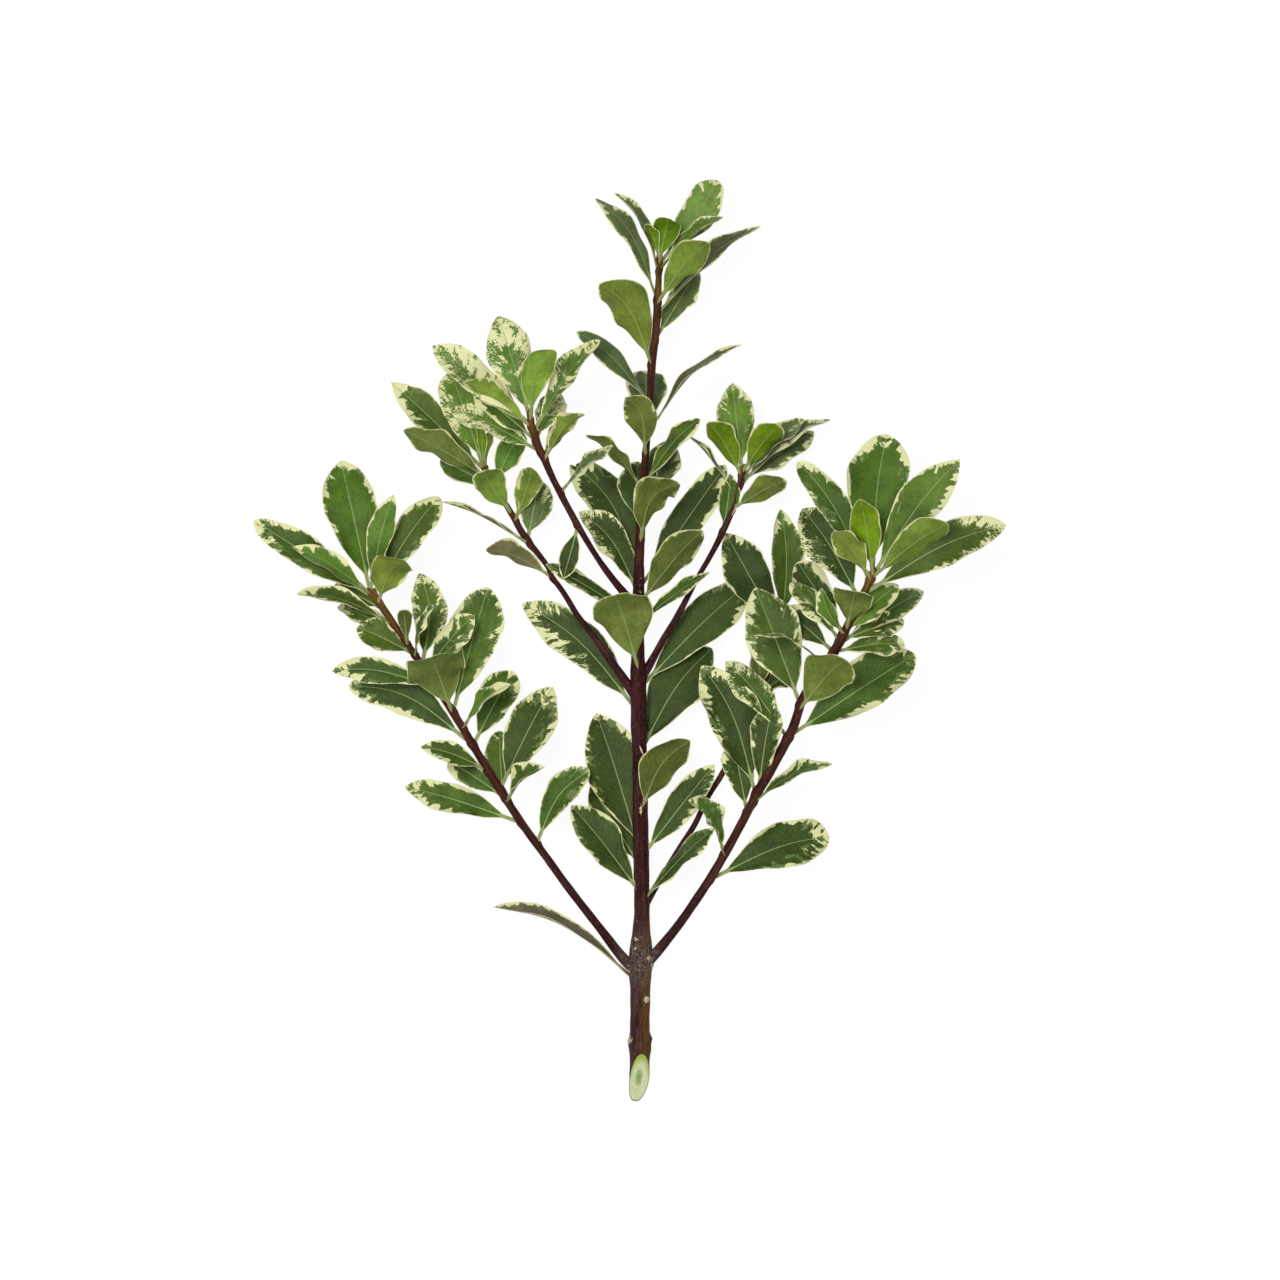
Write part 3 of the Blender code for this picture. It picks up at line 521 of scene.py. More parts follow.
THIN_RIGHT_LEAVES = [
    Leaf(136, 27, 143, -2, 4, 10, green="dark"),
    Leaf(186, 52, 208, 3, 11, 150, left=2, right=2, tip=2.5, speckle=0.4),
    Leaf(184, 72, 195, -4, 10, -30, left=0.8, right=1.2, tip=1.5, green="dark"),
    Leaf(213, 39, 257, -6, 20, 0, left=0.5, right=0.5, tip=3.5, green="dark"),
    Leaf(215, 63.5, 268, -2, 15, 10, 0.05, 0.2, 0.04, left=1.6, right=1.0, tip=2.2),
]
LOW_RIGHT_LEAVES = [
    Leaf(101.5, 86, 119.5, -15, 21, -10, 0.06, 0.2, -0.05, left=1.2, right=3.2, tip=7, green="dark"),
    Leaf(113, 22.5, 138.5, 12, 13, 55, 0.05, 0.5, 0.12, left=3, right=2, tip=4, speckle=0.4),
    Leaf(132, 42, 163, -6, 14, 5, left=2, right=0.6, tip=2, green="dark"),
    Leaf(140, 28, 198, -6, 24, 8, 0.06, 0.2, 0.06, left=4, right=1.5, tip=4, green="dark"),
    Leaf(142, 60, 181, 0, 14, -10, left=1.2, right=1.2, tip=4, green="dark"),
    Leaf(166, 39, 200, -14, 15, 20, left=2, right=3, tip=4, speckle=0.8),
    Leaf(137, 86.5, 154.5, 8, 11, -60, left=2, right=1.5, tip=4),
    Leaf(166.5, 124, 203, -8, 24, -15, 0.05, left=1.5, right=3, tip=4),
    Leaf(181, 52, 233.5, -6, 25, 5, 0.05, left=3, right=2.5, tip=4, speckle=0.3),
    Leaf(200, 51.5, 214, 12, 9, 88, left=2.5, right=2.5, tip=4),
    Leaf(179, 92, 203, 22, 23, -170, 0.15, left=2, right=0.8, tip=1.5),
    Leaf(205, 119, 208, -6, 12, -30, left=2.5, right=2.5, tip=3),
    Leaf(210, 118.5, 218.5, -12, 12, -20, left=2.5, right=2, tip=3),
    Leaf(213, 116, 235, -4, 14, -20, left=1, right=1.5, tip=3.5, green="bright"),
    Leaf(208, 128.5, 231.5, -24, 12, -15, left=1, right=1.5, tip=3),
    Leaf(210, 67.5, 236, 4, 13, 40, 0.05, left=3, right=3, tip=3, speckle=0.3),
    Leaf(213, 81, 234, 10, 10, -40, left=1.2, right=1.5, tip=2, green="bright"),
    Leaf(216, 96, 233, 18, 18, 180, 0.15, left=0.8, right=1.0, tip=1.2),
    Leaf(231, 163.5, 262, 0, 19, -10, 0.05, 0.2, -0.05, left=0.8, right=1.5, tip=6, speckle=0.4),
    Leaf(238, 137, 263, 16, 15, -160, left=1.5, right=0.8, tip=1.2, green="bright"),
    Leaf(238, 143, 291, -2, 20, -12, 0.05, 0.2, -0.03, left=0.8, right=2, tip=4, speckle=0.2,
         green="bright"),
    Leaf(240, 111, 302, -12, 27, -3, 0.05, 0.2, -0.03, left=1.4, right=1.6, tip=4, green="deep"),
    Leaf(240, 98, 274.5, 14, 14, 170, left=0.6, right=0.4, tip=0.6, green="lime"),
    Leaf(238, 86, 260, 16, 13, 155, left=1, right=1.5, tip=1.5, green="bright"),
    Leaf(237, 71, 290, -8, 14, 15, 0.05, 0.2, 0.04, left=2.2, right=0.8, tip=4),
    Leaf(228, 73, 269, -10, 21.5, 5, 0.05, 0.2, 0.03, left=3, right=0.8, tip=3, speckle=1.0, green="dark"),
    Leaf(213, 71, 245, -14, 15, 5, 0.05, left=1, right=1.5, tip=2, green="dark"),
    Leaf(205, 65, 224, -16, 13, 5, 0.05, left=1.5, right=1, tip=2.5, green="dark"),
]
LOW_LEFT_LEAVES = [
    Leaf(117.5, -22, 151, 6, 14, -15, 0.06, 0.2, -0.10, left=0.5, right=2.4, tip=5, speckle=0.3),
    Leaf(127, -106, 142, -16, 14, 15, left=2.5, right=0.8, tip=6),
    Leaf(137, -43, 153.5, 14, 12, -60, 0.10, 0.5, left=2, right=2, tip=3),
    Leaf(140, -63, 168, -10, 14, -5, left=1.2, right=1.2, tip=4),
    Leaf(142, -39, 188, -6, 21, -10, left=1, right=4, tip=7, speckle=0.3, green="dark"),
    Leaf(138, -86, 154, -10, 12, 15, left=1.2, right=1.5, tip=2),
    Leaf(151, -98, 162, 4, 11, 30, left=1.5, right=1, tip=4),
    Leaf(163, -131, 188.5, -8, 18, 8, 0.0, 0.2, 0.11, left=2.2, right=0.8, tip=5, green="dark"),
    Leaf(162, -57, 195, -8, 17, -10, 0.05, left=1, right=2.5, tip=4),
    Leaf(170, -57.5, 190.5, 12, 11, -60, 0.10, 0.5, left=2, right=2, tip=3, green="bright"),
    Leaf(178, -93, 204, 24, 28, 180, 0.15, left=0.8, right=0.8, tip=1.2),
    Leaf(188, -138, 196, 0, 12, 15, 0.05, 0.2, 0.06, left=2.5, right=1, tip=5),
    Leaf(177, -68, 233, -6, 24, -8, 0.04, left=1.2, right=2.6, tip=4, speckle=0.3),
    Leaf(196, -74.5, 221, 4, 13, -20, 0.05, left=3, right=3, tip=3),
    Leaf(198, -99, 239.5, -6, 16, 0, 0.05, 0.2, 0.10, left=2, right=3, tip=5, speckle=0.6),
    Leaf(203, -92, 226, 12, 8, -60, left=2, right=1.5, tip=2),
    Leaf(203, -127, 215, -3, 14, 20, left=1.5, right=1.5, tip=3, speckle=0.3),
    Leaf(208, -105.5, 224, 9, 7, 180, left=0.4, right=0.4, tip=0.5, green="dark"),
    Leaf(217, -153.5, 230, 3, 11, 55, left=2, right=1, tip=4),
    Leaf(223, -137, 234, -16, 12, 10, left=1.5, right=1, tip=2),
    Leaf(210, -136, 224, -12, 10, 30, left=2, right=1.5, tip=5, speckle=0.5),
    Leaf(228, -173, 263, -2, 15, 12, 0.04, left=1.2, right=0.7, tip=6),
    Leaf(230, -155, 252, 8, 12, 45, 0.06, left=1.2, right=1.2, tip=3, green="bright"),
    Leaf(231, -134, 290, -8, 24, 3, left=1.2, right=1.0, tip=3, speckle=0.3, green="deep"),
    Leaf(231, -110, 275, 2, 12, -15, left=0.5, right=0.5, tip=1, green="bright"),
    Leaf(230, -90, 274, -4, 16, -15, left=0.7, right=2.2, tip=4),
    Leaf(227, -105, 246, 14, 20, -150, 0.12, 0.2, 0.05, left=1.8, right=0.8, tip=1.5, green="bright"),
]
STEM_LEAVES = [
    Leaf(54, -65, 89.5, 2, 10, 66, 0.11, left=0.8, right=0.6, tip=1.5, green="rose"),
    Leaf(91, 34, 125, 8, 11, -45, 0.04, left=2, right=0.6, tip=1, green="dark"),
    Leaf(94, -30, 135, 8, 18, 20, 0.04, 0.4, left=1.3, right=0.7, tip=2, green="dark"),
    Leaf(106, -22, 143, -8, 16, 5, 0.04, green="dark"),
    Leaf(112, -19, 176, -4, 26, 8, 0.05, left=2.4, right=0.5, tip=4, green="dark"),
    Leaf(111, 34, 153, 0, 14.5, -10, 0.05, left=0.4, right=1.6, tip=3, green="dark"),
    Leaf(132, 23, 165, 16, 18, -165, 0.06, 0.15, 0.09, left=0.6, right=0.8, tip=1, green="dark"),
    Leaf(158, 33, 205, -12, 23, -10, 0.05, 0.2, -0.05, left=0.4, right=0.4, tip=1.2, green="dark"),
    Leaf(177, -53, 225, -16, 20, 8, -0.03, 0.1, 0.07, left=4, right=0.8, tip=6, speckle=0.3, green="dark"),
    Leaf(187, 50, 235, -13, 20, -8, 0.0, 0.15, -0.02, left=0.6, right=0.8, tip=5, green="dark"),
    Leaf(197, -11, 231, 22, 26, 175, 0.15, left=0.7, right=0.9, tip=1),
    Leaf(225, 28, 260, 14, 17, -155, 0.04, left=2.5, right=1, tip=2, green="dark"),
    Leaf(217, 32, 240, 4, 9, -50, 0.03, left=0.8, right=1.4, tip=2),
    Leaf(219, -42, 243.5, 1, 9, 35, 0.03, left=1.6, right=0.6, tip=3, green="dark"),
    Leaf(227, -31, 289, -20, 20, 10, 0.0, 0.2, 0.12, left=2.4, right=0.6, tip=4, green="dark"),
    Leaf(230, -27, 267, -4, 16, 25, 0.0, 0.2, 0.10, left=3, right=0.8, tip=3, speckle=0.9, green="dark"),
    Leaf(232, 39, 288, -13, 17, -20, 0.0, left=0.6, right=1.4, tip=2.5, green="dark"),
]
SHOOTS = {
    "leader": Shoot(LEADER_ROUTE, 243.0, LEADER_LEAVES),
    "low_left": Shoot(LOW_LEFT_ROUTE, 110.0, LOW_LEFT_LEAVES),
    "low_right": Shoot(LOW_RIGHT_ROUTE, 98.0, LOW_RIGHT_LEAVES),
    "thin_right": Shoot(THIN_RIGHT_ROUTE, 134.0, THIN_RIGHT_LEAVES),
    "mid_left": Shoot(MID_LEFT_ROUTE, 234.0, MID_LEFT_LEAVES),
    "mid_right": Shoot(MID_RIGHT_ROUTE, 250.0, MID_RIGHT_LEAVES),
    "high_left": Shoot(HIGH_LEFT_ROUTE, 258.0, HIGH_LEFT_LEAVES),
}
BOUGH_SIDES = 30
TWIG_SIDES = 24
TWIG_END = 1.6
NODE_SWELLING = Scar(0.0, 0.0, 1.6, 1.3, 0.55, 0.0)


def leaf_swellings(leaves, route):
    """A small swelling on the twig under each leaf, on the side that the leaf springs from."""
    swellings = []
    for leaf in leaves:
        at = on_route(route, leaf.root)
        ahead = on_route(route, leaf.root + 1.0) - at
        side = (leaf.tip_x - at[0]) * ahead[1] - (leaf.tip_y - leaf.root) * ahead[0]
        angle = math.degrees(math.atan2(leaf.rise, side))
        swellings.append(NODE_SWELLING._replace(y=leaf.root, angle=angle))
    return swellings


bough_bark = bark_finish(
    "bough_bark", deep=(0.026, 0.005, 0.008, 1.0), warm=(0.046, 0.010, 0.009, 1.0),
    painted_sheen=(0.100, 0.034, 0.036, 1.0), young=(0.030, 0.007, 0.008, 1.0),
    tip=(0.030, 0.007, 0.008, 1.0), ages=(0.3, 0.9))
twig_bark = bark_finish(
    "twig_bark", deep=(0.038, 0.009, 0.008, 1.0), warm=(0.062, 0.018, 0.009, 1.0),
    painted_sheen=(0.090, 0.036, 0.026, 1.0), young=(0.062, 0.022, 0.006, 1.0),
    tip=(0.125, 0.072, 0.010, 1.0), ages=(0.50, 0.95))
for number, (name, shoot) in enumerate(SHOOTS.items(), start=2):
    route = smooth_route(shoot.route)
    if name != "leader":
        points, fields = bark_skin(route, route[0, 1], shoot.bare_to, BOUGH_SIDES, [], number)
        fields["knot"] = knot_share(points)
        bough = skin_object("bark_bough_" + name, points[None], fields, [bough_bark])
        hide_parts("bough_" + name)
        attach(bough, "root")
    swellings = leaf_swellings(shoot.leaves, route)
    points, fields = bark_skin(route, shoot.bare_to, route[-1, 1], TWIG_SIDES, swellings, number,
                               round_end=TWIG_END)
    twig = skin_object("bark_twig_" + name, points[None], fields, [twig_bark])
    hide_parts("foliage_" + name)
    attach(twig, "root")


# Leaves: leathery spoons on short stalks, glossy dark green above with cream margins that
# run inwards along the side veins in jagged tongues, and pale matt green beneath. The leaves of
# each shoot are one piece, every leaf a thin closed skin with its own wave and curl.
LEAF_ROWS = 46
LEAF_COLUMNS = 21
ROW_CROWDING = 1.5
ROOT_SHARE = 0.85
STALK_SHARE = 0.12
STALK_WIDTH = 1.8
STALK_NARROWS = (0.85, 1.0)
BASE_TAPER = 1.05
BOW_SKEW = 1.25
NOD_SPAN = (0.6, 1.2)
VEIN_LEAN = math.radians(48.0)

# The skin's thickness, the midrib's groove above and ridge beneath, and the margin's two
# wobbles: share of the half width, pace along the leaf and shift by side.
LEAF_THICKNESS = 0.42
MARGIN_THINNING = 0.55
STALK_THICKENING = 0.9
STALK_ENDS = 0.13
RIB_WIDTH = 0.55
RIB_GROOVE = 0.14
RIB_RIDGE = 0.34
EDGE_WOBBLES = [(0.06, 10.0, 2.0), (0.02, 27.0, -1.0)]

# Where along the leaf the cream of the margins and of the tip sets in, and the pale midrib:
# its half width, how much it narrows towards the tip, and how far the stalk's colour spreads.
CREAM_SETS_IN = (0.15, 0.6)
TIP_CREAM_SETS_IN = (0.66, 0.97)
RIB_LINE = 0.26
RIB_NARROWS = 0.7
STALK_SPREAD = 0.8
STALK_FADES = (0.8 * STALK_SHARE, 0.24)

# How leaves differ by chance. Wave height and curl are shares of the half width and the nod
# of the length; brightness, red and blue multiply the leaf's green.
WAVE_CYCLES = (1.6, 2.8)
WAVE_HEIGHT = (0.12, 0.30)
CURL = (-0.26, 0.26)
TIP_NOD = (-0.05, 0.03)
TIP_ROUNDING = (0.58, 0.88)
VEIN_PLACE = (0.0, 90.0)
BRIGHTNESS = (0.86, 1.16)
RED_SHARE = (0.98, 1.18)
BLUE_SHARE = (0.8, 1.05)

# The greens, each with the colour of the upper side and of the underside.
GREENS = {
    "dark": ((0.030, 0.057, 0.006), (0.088, 0.120, 0.024)),
    "mid": ((0.050, 0.100, 0.008), (0.112, 0.156, 0.030)),
    "deep": ((0.048, 0.116, 0.004), (0.115, 0.170, 0.026)),
    # grey: a green greyed and lightened by painted sheen, for leaves whose gloss caught the light.
    "grey": ((0.078, 0.118, 0.036), (0.125, 0.155, 0.055)),
    "bright": ((0.082, 0.175, 0.014), (0.145, 0.225, 0.028)),
    # pale: a lighter green, which on one leader leaf is a painted highlight.
    "pale": ((0.135, 0.245, 0.040), (0.185, 0.300, 0.036)),
    "lime": ((0.118, 0.225, 0.003), (0.118, 0.222, 0.003)),
    "brown": ((0.076, 0.078, 0.030), (0.120, 0.120, 0.046)),
    "rose": ((0.130, 0.112, 0.070), (0.175, 0.118, 0.095)),
}


def blade_outline(u, rounding):
    """Half width as a share of the widest: t to BASE_TAPER times (1 - t) to the rounding."""
    t = np.clip((u - STALK_SHARE) / (1.0 - STALK_SHARE), 0.0, 0.9995)
    widest = BASE_TAPER / (BASE_TAPER + rounding)
    peak = widest ** BASE_TAPER * (1.0 - widest) ** rounding
    return t ** BASE_TAPER * (1.0 - t) ** rounding / peak


def leaf_skin(leaf, limb, dice):
    """Rings of one leaf, and the fields that its finish reads.

    u runs from 0 at the stalk's root to 1 at the tip, and v from -1 to 1 across the leaf. The
    midrib runs to the tip on a skewed sine, which bow carries out of the upper side and sweep
    to the right. Each point lies off it by the share v of the half width, lifted by the fold,
    by a wave that grows with the cube of v, and by a curl with its fourth power. Half a ring is
    the upper side, with a groove for the midrib, and half the underside, a thickness below it
    and with a ridge. The stalk starts inside the limb, towards the side the leaf rises to.
    """
    start = limb[:3].copy()
    run = np.array([leaf.tip_x, leaf.tip_y, start[2] + leaf.rise]) - start
    start[2] += ROOT_SHARE * limb[3] * run[2] / math.hypot(run[0], run[2])
    run = np.array([leaf.tip_x, leaf.tip_y, limb[2] + leaf.rise]) - start
    length = np.linalg.norm(run)
    along = run / length
    level = np.array([0.0, 0.0, 1.0]) - along * along[2]
    level = level / np.linalg.norm(level)
    roll = math.radians(leaf.roll)
    upper = level * math.cos(roll) + np.cross(along, level) * math.sin(roll)
    right = np.cross(along, upper)

    share = np.linspace(0.0, 1.0, LEAF_ROWS)[:, None]
    u = 1.0 - (1.0 - share) ** ROW_CROWDING
    phase = dice.uniform(0.0, 2.0 * math.pi, 4)
    cycles = dice.uniform(*WAVE_CYCLES, 2)
    swing = np.sin(math.pi * u ** BOW_SKEW)
    slope = math.pi * BOW_SKEW * u ** (BOW_SKEW - 1.0) * np.cos(math.pi * u ** BOW_SKEW)
    nod = dice.uniform(*TIP_NOD) * smooth_step(u, *NOD_SPAN)
    midrib = start + length * (u * along + swing * (leaf.bow * upper + leaf.sweep * right) + nod * upper)
    across = right - leaf.sweep * slope * along
    across = across / np.linalg.norm(across, axis=1, keepdims=True)
    blade = leaf.width / 2.0 * blade_outline(u, dice.uniform(*TIP_ROUNDING))
    half = np.maximum(STALK_WIDTH / 2.0 * (1.0 - smooth_step(u, *STALK_NARROWS)), blade)

    top = np.linspace(1.0, -1.0, LEAF_COLUMNS)
    v = np.concatenate([top, top[::-1][1:-1]])[None, :]
    is_top = np.concatenate([np.ones(LEAF_COLUMNS), np.zeros(LEAF_COLUMNS - 2)])[None, :]
    side = np.where(v >= 0.0, 1.0, -1.0)
    turn = 2.0 * math.pi * np.where(side > 0, cycles[0], cycles[1]) * u
    wave = dice.uniform(*WAVE_HEIGHT) * np.sin(turn + np.where(side > 0, phase[0], phase[1]))
    curl = dice.uniform(*CURL)
    wobble = np.ones_like(turn)
    for begin, (size, pace, shift) in zip(phase[2:], EDGE_WOBBLES):
        wobble = wobble + size * np.sin(pace * u + begin + shift * side)
    off = v * half * wobble
    lift = half * (leaf.fold * np.abs(v) + wave * np.abs(v) ** 3 + curl * v ** 4)
    rib = np.exp(-(off / RIB_WIDTH) ** 2)
    thick = (LEAF_THICKNESS * (1.0 - MARGIN_THINNING * np.abs(v))
             + STALK_THICKENING * np.exp(-(u / STALK_ENDS) ** 2) * (1.0 - v ** 2))
    lift = lift + np.where(is_top > 0, 0.5 * thick - RIB_GROOVE * rib,
                           -0.5 * thick - RIB_RIDGE * rib * (1.0 - u))
    points = midrib[:, None, :] + off[..., None] * across[:, None, :] + lift[..., None] * upper

    inside = np.minimum((1.0 - np.abs(v)) * half, (1.0 - u) * length * 0.9)
    margin = np.where(side > 0, leaf.right, leaf.left)
    cream = margin * smooth_step(u, *CREAM_SETS_IN)
    cream = cream + np.maximum(leaf.tip - margin, 0.0) * smooth_step(u, *TIP_CREAM_SETS_IN)
    forward = u * length
    out = np.abs(off)
    veins = np.stack([forward * math.sin(VEIN_LEAN) - out * math.cos(VEIN_LEAN),
                      forward * math.cos(VEIN_LEAN) + out * math.sin(VEIN_LEAN),
                      dice.uniform(*VEIN_PLACE) + 0.15 * off], axis=-1)
    rib_edge = out - RIB_LINE * (1.0 - RIB_NARROWS * u)
    rib_edge = rib_edge - STALK_SPREAD * (1.0 - smooth_step(u, *STALK_FADES))
    brightness = dice.uniform(*BRIGHTNESS)
    tint = brightness * np.array([dice.uniform(*RED_SHARE), 1.0, dice.uniform(*BLUE_SHARE)])
    upper_green, under_green = GREENS[leaf.green]
    spread = np.ones(u.shape[:1] + v.shape[1:])
    pick = np.where(is_top > 0, 1.0, 0.0)[..., None] * spread[..., None]
    green = pick * np.array(upper_green) * tint + (1.0 - pick) * np.array(under_green) * tint
    return points, {
        "inside": inside,
        "cream": cream,
        "veins": veins,
        "rib": rib_edge,
        "speckle": leaf.speckle * spread,
        "blush": (1.0 if leaf.green == "rose" else 0.0) * spread,
        "green": np.concatenate([green, spread[..., None]], axis=-1),
    }


AROUND_LEAF = 2 * LEAF_COLUMNS - 2
CELL_EDGE = 0.02


def bake_places(sets):
    """Corner places of a piece's own map: a cell a leaf, upper side below, underside above."""
    cells = math.ceil(math.sqrt(sets))
    i, j = np.meshgrid(np.arange(LEAF_ROWS - 1), np.arange(AROUND_LEAF), indexing="ij")
    top = j < LEAF_COLUMNS - 1
    ahead = np.stack([i, i + 1, i + 1, i], axis=-1) / (LEAF_ROWS - 1.0)
    step = np.where(top, j, AROUND_LEAF - j)
    back = np.where(top, step + 1, step - 1)
    over = np.stack([step, step, back, back], axis=-1) / (LEAF_COLUMNS - 1.0)
    lift = np.where(top, 0.0, 0.5)[..., None] + CELL_EDGE + (0.5 - 2.0 * CELL_EDGE) * over
    quads = np.stack([CELL_EDGE + (1.0 - 2.0 * CELL_EDGE) * ahead, lift], axis=-1).reshape(-1, 2)
    caps = np.full((2 * AROUND_LEAF, 2), CELL_EDGE / 2.0)
    one = np.concatenate([quads, caps])
    column, row = np.arange(sets) % cells, np.arange(sets) // cells
    corner = np.stack([column, row], axis=-1)[:, None, :]
    return ((corner + one[None]) / cells).reshape(-1, 2)


# Tones that all leaves share. Those of the clouds multiply the green. The cream line round
# each margin is in millimetres, and the side veins' pace in radians a millimetre.
CLOUD_DARK = (0.62, 0.66, 0.55, 1.0)
CLOUD_LIGHT = (1.34, 1.30, 1.45, 1.0)
STALK_TONE = (0.30, 0.26, 0.11, 1.0)
BLUSH_RIB = (0.24, 0.16, 0.10, 1.0)
BLUSH_STALK = (0.27, 0.14, 0.11, 1.0)
CREAM_LINE = 0.28
SIDE_VEIN_PACE = 3.0


def leaf_finish(name, cream, grey, rib, spread, roughness, sheen, relief):
    """One side of a leaf: its green, paler side veins and net, grey patches, cream and midrib.

    Cream reaches in from the margin by a thin line plus the cream field, times spread, times a
    share from 0 to 2: low noise that leaves out whole stretches, plus noise drawn out along
    the side veins, which makes tongues. Grey-green goes further in, and a speckled leaf breaks
    both into grains. The blush field turns the midrib and the stalk from green to rose.
    """
    finish = Finish(name)
    inside = finish.field("inside", "Fac")
    depth = finish.times(finish.field("cream", "Fac"), spread)
    veins = finish.field("veins", "Vector")
    clouds = finish.noise(veins, stretch=(0.10, 0.10, 0.3), detail=2.0)
    freckle = finish.noise(veins, stretch=(0.9, 0.55, 0.3), detail=3.0)
    light = finish.ramp(finish.sum(clouds, finish.times(freckle, 0.7)), -0.25, 0.25)
    shade = finish.mix(light, CLOUD_DARK, CLOUD_LIGHT)
    colour = finish.shaded(finish.field("green", "Color"), shade)
    wobble = finish.noise(veins, stretch=(0.2, 0.2, 1.0), detail=1.0)
    pace = finish.times(finish.part(veins, 0), SIDE_VEIN_PACE)
    ribs = finish.wave(finish.sum(pace, finish.times(wobble, 6.0)))
    colour = finish.mix(finish.times(finish.ramp(ribs, 0.88, 1.0), 0.07), colour, rib)
    net_place = finish.node("ShaderNodeMapping", {"Vector": veins, "Scale": (1.25, 0.85, 1.0)}).outputs[0]
    net = finish.node("ShaderNodeTexVoronoi", {"Vector": net_place, "Scale": 1.0},
                      feature="DISTANCE_TO_EDGE").outputs["Distance"]
    net_line = finish.ramp(net, 0.09, 0.0)
    colour = finish.mix(finish.times(net_line, 0.14), colour, rib)

    stretches = finish.noise(veins, stretch=(0.085, 0.085, 1.0), detail=1.0)
    tongues = finish.noise(veins, stretch=(0.42, 0.10, 1.0), detail=3.0)
    share = finish.sum(finish.sum(0.36, finish.times(tongues, 5.6)), finish.times(stretches, 4.0))
    share = finish.ramp(share, 0.0, 2.0)
    reach = finish.sum(CREAM_LINE, finish.times(finish.times(share, 2.0), depth))
    grains = finish.noise(veins, stretch=(1.9, 0.65, 2.0), detail=5.0)
    grainy = finish.times(finish.times(finish.field("speckle", "Fac"), depth), finish.times(grains, 8.0))
    edge = finish.sum(finish.sum(inside, finish.times(reach, -1.0)), grainy)
    border = finish.noise(veins, stretch=(0.30, 0.11, 3.0), detail=2.0)
    further = finish.ramp(border, -0.05, 0.25)
    grey_edge = finish.sum(edge, finish.times(finish.times(further, depth), -2.2))
    colour = finish.mix(finish.times(finish.ramp(grey_edge, 0.15, -0.15), 0.75), colour, grey)
    colour = finish.mix(finish.ramp(edge, 0.10, -0.10), colour, cream)
    blush = finish.field("blush", "Fac")
    rib_tone = finish.mix(blush, rib, BLUSH_RIB)
    stalk_tone = finish.mix(blush, STALK_TONE, BLUSH_STALK)
    colour = finish.mix(finish.ramp(finish.field("rib", "Fac"), 0.10, -0.06), colour, rib_tone)
    colour = finish.mix(finish.ramp(finish.field("rib", "Fac"), -0.45, -0.85), colour, stalk_tone)
    finish.paint(colour)
    finish.gloss(roughness, sheen)
    fine = finish.noise(veins, stretch=(4.0, 4.0, 4.0), detail=2.0)
    fine_net = finish.sum(finish.times(fine, 1.2), finish.times(net_line, -0.5))
    finish.relief(finish.sum(finish.times(ribs, 0.08), fine_net), relief)
    return finish.material


leaf_top = leaf_finish(
    "leaf_upper_side", cream=(0.70, 0.70, 0.37, 1.0), grey=(0.150, 0.210, 0.065, 1.0),
    rib=(0.25, 0.34, 0.12, 1.0), spread=1.0, roughness=0.34, sheen=0.20, relief=0.12 * MM)
leaf_back = leaf_finish(
    "leaf_underside", cream=(0.57, 0.58, 0.28, 1.0), grey=(0.190, 0.230, 0.068, 1.0),
    rib=(0.23, 0.30, 0.10, 1.0), spread=0.4, roughness=0.5, sheen=0.12, relief=0.16 * MM)


def leaf_piece(name, leaves, route, seed):
    """All the leaves of one shoot as one piece."""
    dice = np.random.default_rng(seed)
    skins = [leaf_skin(leaf, on_route(route, leaf.root), dice) for leaf in leaves]
    points = np.stack([skin[0] for skin in skins])
    fields = {key: np.stack([skin[1][key] for skin in skins]) for key in skins[0][1]}
    piece = skin_object(name, points, fields, [leaf_top, leaf_back])
    top = np.tile(np.arange(AROUND_LEAF) < LEAF_COLUMNS - 1, LEAF_ROWS - 1)
    one = np.concatenate([np.where(top, 0, 1), [0, 0]]).astype(np.int32)
    piece.data.polygons.foreach_set("material_index", np.tile(one, len(leaves)))
    places = piece.data.uv_layers.new(name="OFBake")
    places.data.foreach_set("uv", bake_places(len(leaves)).astype(np.float32).ravel())
    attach(piece, "root")
    return piece


LEAF_SEED = 11
STEM_LEAF_SEED = 5
for number, (name, shoot) in enumerate(SHOOTS.items(), start=LEAF_SEED):
    piece = leaf_piece("leaves_" + name, shoot.leaves, smooth_route(shoot.route), number)
    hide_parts("foliage_" + name)
piece = leaf_piece("leaves_main_stem", STEM_LEAVES, stem_route, STEM_LEAF_SEED)
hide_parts(*[f"stem_leaf_{number:02d}" for number in range(1, len(STEM_LEAVES) + 1)])


# The surface it lies on, the light and the camera: a plain white table under two large soft
# lights and a pale sky, seen from straight above through a long lens. The table glows, which
# keeps it white with hardly a shadow. Lengths here are in metres.
TABLE_SIDE = 6.0
TABLE_GREY = 0.08
TABLE_GLOW = 0.94
SKY_GLOW = 0.30
WHITE = (1.0, 1.0, 1.0, 1.0)

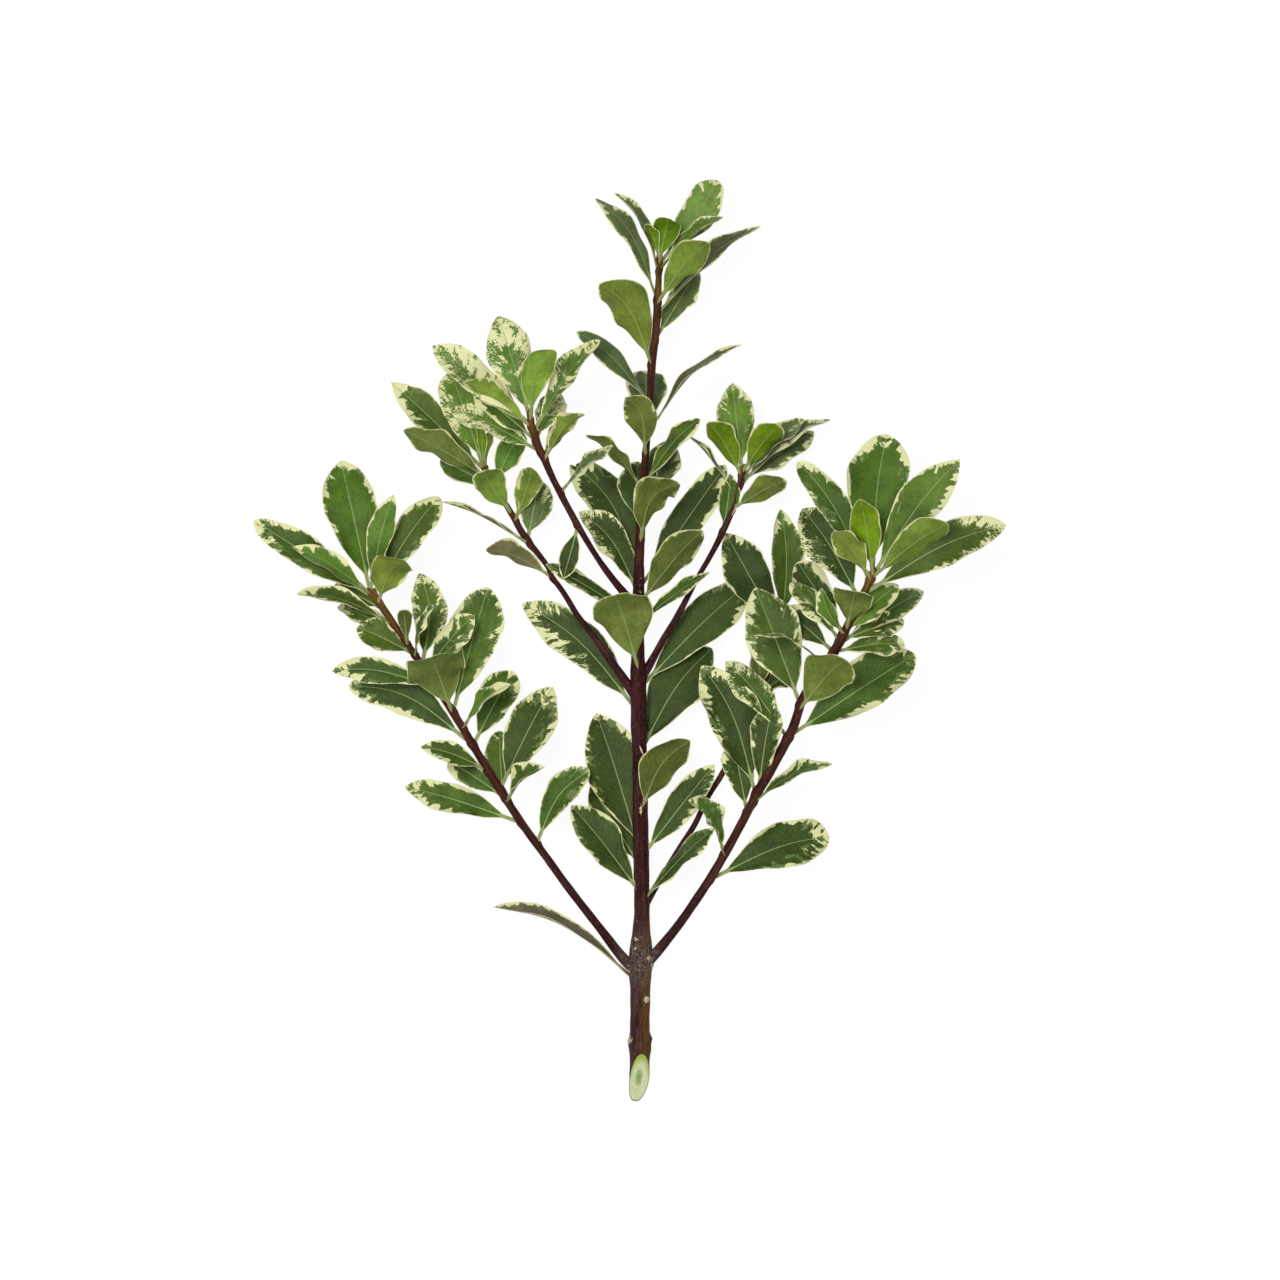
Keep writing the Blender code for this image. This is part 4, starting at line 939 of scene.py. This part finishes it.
table_mesh = bpy.data.meshes.new("table")
half_side = TABLE_SIDE / 2.0
table_corners = [(-half_side, -half_side, 0), (half_side, -half_side, 0), (half_side, half_side, 0),
                 (-half_side, half_side, 0)]
table_mesh.from_pydata(table_corners, [], [(0, 1, 2, 3)])
table = bpy.data.objects.new("table", table_mesh)
bpy.context.scene.collection.objects.link(table)
table_finish = Finish("white_table")
table_finish.gloss(0.9, 0.0)
table_finish.shader.inputs["Base Color"].default_value = (TABLE_GREY, TABLE_GREY, TABLE_GREY, 1.0)
table_finish.shader.inputs["Emission Color"].default_value = WHITE
table_finish.shader.inputs["Emission Strength"].default_value = TABLE_GLOW
table_mesh.materials.append(table_finish.material)

world = bpy.data.worlds.new("pale_sky")
world.use_nodes = True
world.node_tree.nodes["Background"].inputs[0].default_value = WHITE
world.node_tree.nodes["Background"].inputs[1].default_value = SKY_GLOW
bpy.context.scene.world = world


def soft_light(name, place, size, power):
    """A square area light that faces the middle of the table."""
    light = bpy.data.lights.new(name, "AREA")
    light.size = size
    light.energy = power
    lamp = bpy.data.objects.new(name, light)
    lamp.location = place
    away = np.array(place) / np.linalg.norm(place)
    lamp.rotation_euler = (math.acos(away[2]), 0.0, math.atan2(away[0], -away[1]))
    bpy.context.scene.collection.objects.link(lamp)


soft_light("key_light", (-0.5, 0.35, 1.6), size=0.7, power=21.0)
soft_light("fill_light", (0.5, -0.9, 1.4), size=1.0, power=11.0)

# The camera stands VIEW_DISTANCE above the plane of the leaves, over VIEW_MIDDLE, a point of
# the stem's own frame in millimetres. Lens and sensor are in millimetres too.
VIEW_DISTANCE = 2.88
VIEW_PLANE = 0.018
VIEW_MIDDLE = np.array([0.4, 209.25, 0.0])
LENS = 180.0
SENSOR_WIDTH = 36.0
FARTHEST_SEEN = 20.0
camera_data = bpy.data.cameras.new("camera")
camera_data.lens = LENS
camera_data.sensor_width = SENSOR_WIDTH
camera_data.clip_end = FARTHEST_SEEN
camera = bpy.data.objects.new("camera", camera_data)
middle = lay_down(VIEW_MIDDLE)
camera.location = (middle[0], middle[1], VIEW_PLANE + VIEW_DISTANCE)
bpy.context.scene.collection.objects.link(camera)
bpy.context.scene.camera = camera
bpy.context.scene.view_settings.view_transform = "Standard"
